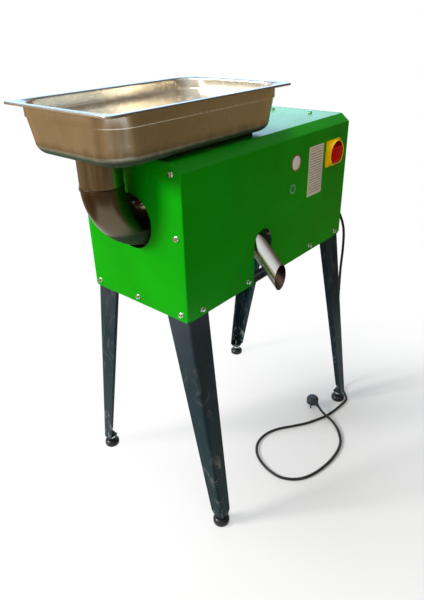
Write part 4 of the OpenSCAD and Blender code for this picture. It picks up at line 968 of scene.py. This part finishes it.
class STRAINER_OT_inlet(Operator):
    """Elbow with its socket, weld and flange, and the red gasket behind it"""
    bl_idname = "strainer.inlet"
    bl_label = "Inlet"

    def execute(self, context):
        collar = [(44.3, -6), (45.6, -6), (46.05, -5.5), (46.05, -0.6), (45.5, 0), (44.3, 0)]
        flange = [(42.6, -4), (64.2, -4), (65, -3.2), (65, 0), (42.6, 0)]
        gasket = [(42.5, 0.02), (64.7, 0.02), (65, 0.3), (65, 1.7), (64.7, 1.98), (42.5, 1.98)]
        middle = (ELBOW_X, 0, AXIS_Z)
        grids = thick(bend_skin(PIPE_R), bend_skin(BORE_R), "tb", ring=True)
        grids += [turned(collar, (OUTLET_X, 0, JOINT_Z), UP, 72, closed=True),
                  turned(flange, middle, ALONG, 72, closed=True),
                  grid(self.weld() + middle, close_rows=True, close_ring=True)]
        make("inlet_elbow", grids)
        make("inlet_gasket", [turned(gasket, middle, ALONG, 72, closed=True)])
        bolts = []
        for a in np.radians([45, 135, 225, 315]):
            place = (ELBOW_X - 4, BOLT_CIRCLE * math.cos(a), AXIS_Z + BOLT_CIRCLE * math.sin(a))
            bolts += hex_screw(place, -ALONG, 6.0, 12.0)
        make("inlet_bolts", bolts)
        return {"FINISHED"}

    def weld(self):
        """Fillet weld with 45 ripples round: a quarter circle whose size is 0.25 * cos(45 a)
        more or less, closed by two rows inside the pipe and the flange."""
        a = ring_angles(180)
        t = np.radians(np.linspace(0, 90, 6))[:, None]
        ripple = 0.25 * np.cos(45 * a)
        arc = 44 + (3.4 + ripple) * np.cos(t)
        radius = np.concatenate([arc, np.full((1, 180), 43.5), arc[:1]])
        x = np.concatenate([-4 - (3.2 + ripple) * np.sin(t), np.full((2, 180), -3.9)])
        return surface(x, radius * np.cos(a), radius * np.sin(a))


class STRAINER_OT_spout(Operator):
    """Juice spout: a tube at 45 degrees whose mouth is cut upright"""
    bl_idname = "strainer.spout"
    bl_label = "Juice spout"

    def execute(self, context):
        node_low, node_high = box_mm("juice_spout")
        mouth, inside = node_low[1], node_high[1]
        radius = (node_high[0] - node_low[0]) / 2
        drop = node_low[2] + radius * math.sqrt(2) - mouth

        def skin(r):
            """The ring point at angle a is on the cut y = c where s = r * sin(a) / sqrt(2) + c."""
            a = ring_angles(72)
            lift = r * np.sin(a) / math.sqrt(2)
            t = np.concatenate([[0, 0.004], np.linspace(0.02, 1, 22)])[:, None]
            y = mouth * (1 - t) + inside * t
            return surface(SPOUT_X + r * np.cos(a), y, drop + (y + lift) + lift)

        outer, inner = skin(radius), skin(radius - SPOUT_WALL)
        inner[0] = inner[1] + (outer[1] - inner[1]) * 0.12
        inner[0, :, 1] = mouth
        make("juice_spout", thick(outer, inner, "tb", ring=True), sharp=30)
        return {"FINISHED"}


# ---------------------------------------------------------------- switch, signs, cord

# Middle of the switch in (x, z), half the sizes of its plate and of the block behind it, the
# block's end, the outer faces of the plate and of the collar, the flap's hinge and how far
# that is above the middle, the collar's radius, the depth of its flat and its wall.
SWITCH = (252.0, 855.0)
PLATE_HALF, BLOCK_HALF, BLOCK_Y = 35, 26, -137.5
PLATE_Y, COLLAR_Y, HINGE_Y, HINGE_RISE = -162.5, -174.5, -170.8, 15.0
COLLAR_R, COLLAR_FLAT, COLLAR_WALL = 35.0, 28.0, 2.0


def flat_round(radius, flat):
    """Circle cut off below: (r cos a, max(r sin a, -flat)), evenly spaced by angle."""
    a = ring_angles(96)
    return np.column_stack([radius * np.cos(a), np.maximum(radius * np.sin(a), -flat)])


def flat_round_stack(rows):
    """Cut-off circles in planes of constant y. Each row is (inset from the collar, y)."""
    loops = np.stack([flat_round(max(COLLAR_R - inset, 0), max(COLLAR_FLAT - inset, 0))
                      for inset, _ in rows])
    return lifted(loops + SWITCH, [y for _, y in rows])[..., [0, 2, 1]]


class STRAINER_OT_switch(Operator):
    """Yellow switch with its collar, red stop flap and two push buttons"""
    bl_idname = "strainer.switch"
    bl_label = "Switch"

    def execute(self, context):
        x, z = SWITCH
        plate = [slab((x - half, low, z - half), (x + half, high, z + half), r, edge, axis=1)
                 for half, low, high, r, edge in ((PLATE_HALF, PLATE_Y, -HY, 5, 1.2),
                                                  (BLOCK_HALF, -HY - 0.5, BLOCK_Y, 2, 0.5))]
        make("switch_plate", plate)
        wall = COLLAR_WALL
        ring = [(0, PLATE_Y), (0, COLLAR_Y + 0.9), (0.2, COLLAR_Y + 0.3), (0.6, COLLAR_Y),
                (wall - 0.6, COLLAR_Y), (wall - 0.2, COLLAR_Y + 0.3), (wall, COLLAR_Y + 0.9),
                (wall, PLATE_Y)]
        make("switch_collar", [grid(flat_round_stack(ring), close_rows=True, close_ring=True)],
             sharp=50)
        bed, lip = PLATE_Y - 2, COLLAR_Y + 1.6
        cup = [(COLLAR_R, PLATE_Y), (wall + 0.1, PLATE_Y), (wall + 0.1, lip), (wall + 0.5, lip),
               (wall + 0.5, bed), (COLLAR_R, bed)]
        make("switch_insert", [grid(flat_round_stack(cup), close_ring=True)])
        cap = [(0, 0), (6.6, 0), (7.6, 0.35), (8, 1.2), (8, 21), (0, 21)]
        for name, side in (("start", -10), ("stop", 10)):
            button = turned(cap, (x + side, PLATE_Y - 5.2, z - 8), INWARD, 40)
            make(f"{name}_button", [button])
        make("switch_flap", self.flap(), sharp=50, name="Stop flap")
        return {"FINISHED"}

    def flap(self):
        """Shield-shaped flap: the width at height z is that of the collar's circle, less a gap,
        and its front is a cushion that swells by 4 towards its middle. It hangs from a rod."""
        x, z = SWITCH
        low, high = 3.0 - COLLAR_FLAT, HINGE_RISE + 2.6
        v = np.linspace(0, 1, 29)[:, None]
        u = np.linspace(-1, 1, 33)[None, :]
        height = low + (high - low) * v
        bore = COLLAR_R - COLLAR_WALL
        widest = math.sqrt(bore ** 2 - HINGE_RISE ** 2) - 2.2
        half = np.minimum(np.sqrt((bore - 1.2) ** 2 - height ** 2), widest)
        swell = 4.0 * (1 - np.abs(u) ** 5) * (1 - np.abs(2 * v - 1) ** 7) ** 0.8
        front = surface(x + u * half, HINGE_Y - 1.2 - swell, z + height)
        back = surface(x + u * half, HINGE_Y + 2 - 1.6 * v ** 9, z + height)
        rod = [(0, -30.6), (1.2, -30.6), (1.5, -30.3), (1.5, -27.2), (2.4, -27.2), (2.4, 27.2),
               (1.5, 27.2), (1.5, 30.3), (1.2, 30.6), (0, 30.6)]
        return thick(front, back) + [turned(rod, (x, HINGE_Y, z + HINGE_RISE), ALONG, 32)]


class STRAINER_OT_signs(Operator):
    """Blank ruled plate and two blank round stickers on the casing's side"""
    bl_idname = "strainer.signs"
    bl_label = "Signs"

    def execute(self, context):
        low, high = box_mm("instruction_plate")
        make("instruction_plate", [slab(low, high, 2, 0.2, axis=1)])
        discs = []
        for x, z, r in STICKERS:
            disc = [(0, 0), (r, 0), (r, 0.45), (r - 0.25, 0.6), (0, 0.6)]
            discs.append(turned(disc, (x, -HY, z), -INWARD, 56))
        make("round_labels", discs, name="Round stickers")
        return {"FINISHED"}


GLAND = np.array([HX, -110.0, 668.0])
PLUG = np.array([223.0, -177.0, 0.0])
ROUTE = np.array([
    [362, -110, 668], [378, -114, 662], [390, -128, 636], [393, -145, 590], [389, -152, 530],
    [387, -152, 440], [386, -157, 310], [384, -165, 160], [382, -178, 70], [374, -198, 20],
    [354, -228, 4], [324, -251, 4], [272, -250, 4], [212, -240, 4], [168, -222, 4],
    [133, -204, 4], [96, -178, 4], [57, -150, 4], [16, -134, 4], [-24, -134, 4],
    [-56, -148, 4], [-82, -176, 4], [-100, -222, 4], [-100, -268, 4], [-74, -308, 4],
    [-30, -332, 4], [30, -344, 4], [84, -344, 4], [130, -333, 4], [164, -310, 5],
    [188, -282, 6], [198, -258, 9], [200, -240, 14], [204, -222, 20], [210, -205, 27]], float)


def smooth_route(points, steps):
    """Catmull-Rom curve through the points: on each stretch q to r it is half of
    2q + (r - p) t + (2p - 5q + 4r - s) t^2 + (3q - p - 3r + s) t^3."""
    padded = np.concatenate([points[:1], points, points[-1:]])
    p, q, r, s = (padded[i:len(padded) - 3 + i, None] for i in range(4))
    t = (np.arange(steps) / steps)[None, :, None]
    curve = 0.5 * (2 * q + (r - p) * t + (2 * p - 5 * q + 4 * r - s) * t ** 2
                   + (3 * q - p - 3 * r + s) * t ** 3)
    return np.concatenate([curve.reshape(-1, 3), points[-1:]])


class STRAINER_OT_cord(Operator):
    """Mains cord from its gland down to the floor, once round, and its plug"""
    bl_idname = "strainer.cord"
    bl_label = "Mains cord"

    def execute(self, context):
        look = context.scene.strainer_cord
        make("cable_gland", self.gland())
        centre = at(smooth_route(ROUTE, 8))
        line = bpy.data.curves.new("Mains cord", "CURVE")
        line.dimensions = "3D"
        line.bevel_depth = look.diameter / 2
        line.bevel_resolution = 6
        line.use_fill_caps = True
        spline = line.splines.new("POLY")
        spline.points.add(len(centre) - 1)
        spline.points.foreach_set("co", np.column_stack([centre, np.ones(len(centre))]).ravel())
        spline.use_smooth = True
        cord = stand_for(bpy.data.objects.new("Mains cord", line), "mains_cord")
        plug = make("mains_plug", self.plug(), sharp=45)
        return {"FINISHED"}

    def gland(self):
        """Hexagon, a domed nut whose grip is 3.5 per cent smaller where cos(16 a) > 0.2, and
        the threaded end inside the casing."""
        dome = [(0, 8), (11, 8), (11.5, 8.6), (11.5, 15.4), (11, 16.6), (8.6, 23.6), (7.9, 24.4),
                (7.2, 24.5), (4.6, 24.5), (4.4, 24.0), (0, 24.0)]
        nut = turned(dome, GLAND, ALONG, 96)
        rows = nut[0].reshape(len(dome), 96, 3)
        grip = 1 - 0.035 * (np.cos(16 * ring_angles(96)) > 0.2)[:, None]
        rows[2:5, :, 1:] = GLAND[1:] + (rows[2:5, :, 1:] - GLAND[1:]) * grip
        end = [(0, -12), (9.4, -12), (10, -11.4), (10, 0.1), (0, 0.1)]
        return [hexed(GLAND, ALONG, 23.38, 8), nut, turned(end, GLAND, ALONG, 40)]

    def plug(self):
        """Moulded body with a rounded back and grip grooves, the ribbed relief its cord comes
        out of, and two round pins."""
        body = [(0, 19), (17.2, 19), (18.6, 19.3), (19.3, 20.2), (19.5, 21.4)]
        for z in (24, 28):
            body += [(19.5, z), (19.2, z + 0.4), (19.2, z + 1.4), (19.5, z + 1.8)]
        body += [(19.5, 34.2), (19.0, 36.2), (17.2, 39.4), (14.2, 42.2), (12.2, 42.9), (9, 43),
                 (0, 43)]
        end, before = ROUTE[-1], ROUTE[-2]
        u = np.linspace(0, 19, 39)
        rib = 0.45 * (np.mod(u, 3.2) > 1.4) * (u < 15) * (u > 1)
        relief = np.column_stack([[0, *(5.0 + u / 19 * 4.0 - rib), 0], [0, *u, 19]])
        pin = [(0, 0), (1.5, 0), (2.15, 0.5), (2.4, 1.3), (2.4, 20), (0, 20)]
        return [turned(body, PLUG, UP, 72), turned(relief, end, end - before, 32),
                *(turned(pin, PLUG + [x, 0, 0], UP, 24) for x in (-9.5, 9.5))]


# ---------------------------------------------------------------- inside


class STRAINER_OT_inside(Operator):
    """Finishes of the drum, the rotor, the motor and everything else inside the casing"""
    bl_idname = "strainer.inside"
    bl_label = "Inside"

    def execute(self, context):
        for name, node in frame["nodes"].items():
            if not node.hide_render:
                node.data.materials.clear()
                node.data.materials.append(FINISH[SLOT[name]])
        return {"FINISHED"}


# ---------------------------------------------------------------- stage

# Name, place, target, width and height, watts and colour of each light.
LIGHTS = (
    ("Sky panel", (3.3, 2.9, 2.1), (0.0, 0.0, 0.95), (4.6, 2.6), 70, (0.30, 0.62, 1.0)),
    ("Key", (-2.6, 1.7, 2.1), (0.0, 0.0, 0.6), (0.9, 0.7), 126, (1.0, 0.985, 0.96)),
    ("Back light", (-0.6, 0.8, 3.7), (0.1, 0.0, 0.3), (1.6, 1.6), 44, (1.0, 1.0, 1.0)),
)
# Where the camera stands, in millimetres from the casing's middle, and how it is turned.
EYE = (-1020.69, -827.59, 1188.17)
EYE_RIGHT, EYE_DOWN, EYE_AHEAD = np.array([
    (0.6504, -0.7592, -0.0239), (-0.3593, -0.2798, -0.8903), (0.6692, 0.5877, -0.4547)])
LENS, LENS_SHIFT = 30.90, (0.00133, -0.0323)
# The sweep's directions on the floor, where its floor starts and ends, the radius of its
# turn, its top, half its width near the camera and how much that grows with distance.
FLOOR_AHEAD, FLOOR_RIGHT = np.array([(0.7514, 0.6599, 0), (0.6599, -0.7514, 0)])
FLOOR_START, FLOOR_END, FLOOR_TURN, WALL_TOP = -1.5, 4.0, 1.8, 2.6
FLOOR_HALF, FLOOR_SPREAD = 0.95, 0.4
# The floor takes shadows round this place and turns plain white between these distances.
SHADED_PLACE, SHADED_RAMP = (0.2, -0.5, 0.0), (0.15, 0.95)
# Direction of the room's bright side.
WAY_TO_BRIGHT = (-0.60, 0.45, 0.66)


def turned_to(right, up, back, place):
    """Matrix of an object at a place whose own x, y and z run right, up and back."""
    return Matrix([[*row, where] for row, where in zip(np.transpose([right, up, back]), place)]
                  + [[0, 0, 0, 1]])


class STRAINER_OT_stage(Operator):
    """Plain pale sweep, three soft lights, the room round them and the camera"""
    bl_idname = "strainer.stage"
    bl_label = "Stage"

    def execute(self, context):
        look = context.scene.strainer_stage
        self.backdrop(look)
        for light in LIGHTS:
            self.light(*light)
        self.world(context, look)
        self.camera(context)
        return {"FINISHED"}

    def backdrop(self, look):
        """Paper sweep: a floor that turns up into a wall behind the object, square to the
        view. It widens with distance as the view does, and the room is round it."""
        t = np.radians(np.linspace(0, 90, 17))
        run = np.concatenate([np.linspace(FLOOR_START, FLOOR_END, 12),
                              FLOOR_END + FLOOR_TURN * np.sin(t[1:]), [FLOOR_END + FLOOR_TURN]])
        rise = np.concatenate([np.zeros(12), FLOOR_TURN * (1 - np.cos(t[1:])), [WALL_TOP]])
        half = FLOOR_HALF + FLOOR_SPREAD * np.maximum(run, 0)
        across = half[:, None] * np.linspace(-1, 1, 5)
        points = run[:, None, None] * FLOOR_AHEAD + across[..., None] * FLOOR_RIGHT
        points[..., 2] = rise[:, None]
        verts, quads = grid(points)
        mesh = bpy.data.meshes.new("Backdrop")
        mesh.from_pydata(verts.tolist(), [], quads[:, ::-1].tolist())
        smooth(mesh)
        floor = bpy.data.objects.new("Backdrop", mesh)
        bpy.context.scene.collection.objects.link(floor)
        f = Finish("Floor", Roughness=0.8, Specular_IOR_Level=0.15)
        f.set(Base_Color=f.tint(look.floor, 0.985 + 0.03 * f.noise(1.3, 3)),
              Normal=f.bump(f.noise(220, 3), 0.03, 0.0005))
        direct = [f.node("ShaderNodeLightPath", out=f"Is {kind} Ray")
                  for kind in ("Camera", "Glossy", "Transmission")]
        plain = f.node("ShaderNodeEmission", {"Color": (1.0, 1.0, 1.0), "Strength": 1.0})
        away = f.apart(SHADED_PLACE).ramp(*SHADED_RAMP)
        shown = (direct[0] + direct[1] + direct[2]) * away
        shaded = Value(f, f.shader.outputs[0])
        f.show(f.node("ShaderNodeMixShader", [shown, shaded, plain]))
        mesh.materials.append(f.material)

    def light(self, name, place, target, size, power, shade):
        lamp = bpy.data.lights.new(name, "AREA")
        lamp.shape = "RECTANGLE"
        lamp.size, lamp.size_y = size
        lamp.energy = power
        lamp.color = shade
        holder = bpy.data.objects.new(name, lamp)
        bpy.context.scene.collection.objects.link(holder)
        back = np.array(place) - np.array(target)
        back /= np.linalg.norm(back)
        side = np.cross([0, 0, 1], back)
        side /= np.linalg.norm(side)
        holder.matrix_world = turned_to(side, np.cross(back, side), back, place)

    def world(self, context, look):
        """Sky over a warm room. Both go from a bright side, left and behind, to a dim side:
        low + (high - low) * smooth(direction . side), and noise mottles the room."""
        world = bpy.data.worlds.new("Surroundings")
        context.scene.world = world
        world.use_nodes = True
        w = Nodes(world.node_tree)
        way = w.node("ShaderNodeTexCoord", out="Generated")
        side = w.node("ShaderNodeVectorMath", [way, WAY_TO_BRIGHT], out="Value",
                      operation="DOT_PRODUCT")
        height = w.node("ShaderNodeSeparateXYZ", [way], out="Z")
        mottle = w.noise(1.6, 3.0, 0.5, stretch=(2.2, 2.2, 0.5), over=way)
        room = w.blend(side.ramp(-0.7, 0.8), look.room_dim, look.room)
        room = w.blend(mottle.ramp(0.35, 0.65), room, w.blend(0.55, room, (0, 0, 0)))
        sky = w.blend(side.ramp(-0.6, 0.9), (0.22, 0.185, 0.15), (0.97, 0.96, 0.94))
        both = w.blend(height.ramp(0.0, 0.3), room, sky)
        shown = w.node("ShaderNodeBackground", {"Color": both, "Strength": 1.0})
        w.node("ShaderNodeOutputWorld", {"Surface": shown})

    def camera(self, context):
        lens = bpy.data.cameras.new("Camera")
        lens.sensor_width, lens.lens = 36.0, LENS
        lens.shift_x, lens.shift_y = LENS_SHIFT
        camera = bpy.data.objects.new("Camera", lens)
        context.scene.collection.objects.link(camera)
        camera.matrix_world = turned_to(EYE_RIGHT, -EYE_DOWN, -EYE_AHEAD, at(EYE))
        context.scene.camera = camera
        context.scene.view_settings.view_transform = "Standard"


# ---------------------------------------------------------------- add-on

FINISH = {}
# Pieces that look different from the other pieces of their slot.
OWN_FINISH = {"hopper_pipe": "pipe_steel", "inlet_elbow": "elbow_steel",
              "juice_spout": "spout_steel", "cable_gland": "black_rubber",
              "mains_plug": "black_rubber"}


def build_finishes(scene):
    """One finish for each material slot of the record, and those of OWN_FINISH."""
    casing, steel, switch = scene.strainer_casing, scene.strainer_steel, scene.strainer_switch
    cord, stand = scene.strainer_cord, scene.strainer_stand
    brushed = {"grain": (1, 1, 14), "along": 600}
    FINISH.update({
        "green_paint": enamel("Green enamel", casing.paint, 0.22, low=BASE_Z / 1000,
                              wave=0.03),
        "dark_paint": enamel("Dark enamel", casing.frame_paint, 0.34, 0.12, 0.25,
                             gloss=0.1, marks=0.45),
        # The heights shade_below and rim set where the painted shade, the painted green reflection
        # and the painted sky tint lie.
        "pan_steel": drawn_steel("Pan steel", steel.pan, 0.16, shade_below=0.96, rim=1.0525),
        "pipe_steel": drawn_steel("Pipe steel", steel.tube, 0.13, smear=0.45, **brushed),
        "elbow_steel": drawn_steel("Elbow steel", steel.elbow, 0.15, smear=0.5,
                                   shade_below=0.775, **brushed),
        "spout_steel": spout_tube("Spout steel", steel.spout),
        "steel": drawn_steel("Inner steel", steel.sheet, 0.3, smear=0.45, **brushed),
        "zinc": plating("Zinc", steel.zinc, 0.12),
        "shaft_steel": plating("Turned steel", rgb("a8a8a8"), 0.22),
        "foot_rubber": rubber("Foot rubber", stand.rubber, 0.08, rough=0.3),
        "black_rubber": rubber("Black rubber", cord.plug, 0.1, 900, 0.4),
        "cord_rubber": rubber("Cord rubber", cord.sheath, 0.1, 500, 0.45),
        "gasket_rubber": rubber("Gasket rubber", rgb("a8503c"), 0.1),
        "motor_grey": enamel("Motor paint", rgb("6a777f"), 0.4, 0.2, 0.3),
        "cover_grey": enamel("Cover paint", rgb("4c575e"), 0.38, 0.15, 0.3),
        "black_plastic": plastic("Black plastic", rgb("202124"), 0.4),
        "dark_plastic": plastic("Dark plastic", rgb("363f45"), 0.4),
        "pale_plastic": plastic("Pale plastic", rgb("dbdad6"), 0.3),
        "yellow_plastic": plastic("Yellow plastic", switch.yellow, 0.3, gloss=0.1),
        "red_plastic": plastic("Red plastic", switch.red, 0.2, gloss=0.1),
        "green_plastic": plastic("Green plastic", switch.green, 0.3),
        "label_grey": ruled_plate("Sign plate", rgb("e2ddd0"), rgb("4a463f"), rgb("a5655a")),
        "label_round": stickers("Stickers", casing.paint),
    })


BUILDERS = (STRAINER_OT_stage, STRAINER_OT_cord, STRAINER_OT_casing, STRAINER_OT_stand,
            STRAINER_OT_hopper, STRAINER_OT_inlet, STRAINER_OT_spout, STRAINER_OT_switch,
            STRAINER_OT_signs, STRAINER_OT_inside)
LOOKS = {"strainer_casing": CasingLooks, "strainer_stand": StandLooks, "strainer_steel": SteelLooks,
         "strainer_switch": SwitchLooks, "strainer_cord": CordLooks, "strainer_stage": StageLooks}


class STRAINER_PT_panel(Panel):
    """Sizes, colours and the operators that build the strainer"""
    bl_label = "Strainer"
    bl_idname = "STRAINER_PT_panel"
    bl_space_type = "VIEW_3D"
    bl_region_type = "UI"
    bl_category = "Strainer"

    def draw(self, context):
        for key, look in LOOKS.items():
            group = getattr(context.scene, key)
            box = self.layout.box()
            box.label(text=look.__name__)
            for name in look.__annotations__:
                box.prop(group, name)
        for builder in BUILDERS:
            self.layout.operator(builder.bl_idname)


def register():
    for look in LOOKS.values():
        bpy.utils.register_class(look)
    for key, look in LOOKS.items():
        setattr(bpy.types.Scene, key, PointerProperty(type=look))
    for item in (*BUILDERS, STRAINER_PT_panel):
        bpy.utils.register_class(item)


def unregister():
    for item in (STRAINER_PT_panel, *reversed(BUILDERS)):
        bpy.utils.unregister_class(item)
    for key in LOOKS:
        delattr(bpy.types.Scene, key)
    for look in reversed(LOOKS.values()):
        bpy.utils.unregister_class(look)


def main():
    register()
    build_finishes(bpy.context.scene)
    for builder in BUILDERS:
        kind, name = builder.bl_idname.split(".")
        getattr(getattr(bpy.ops, kind), name)()


if __name__ == "__main__":
    main()
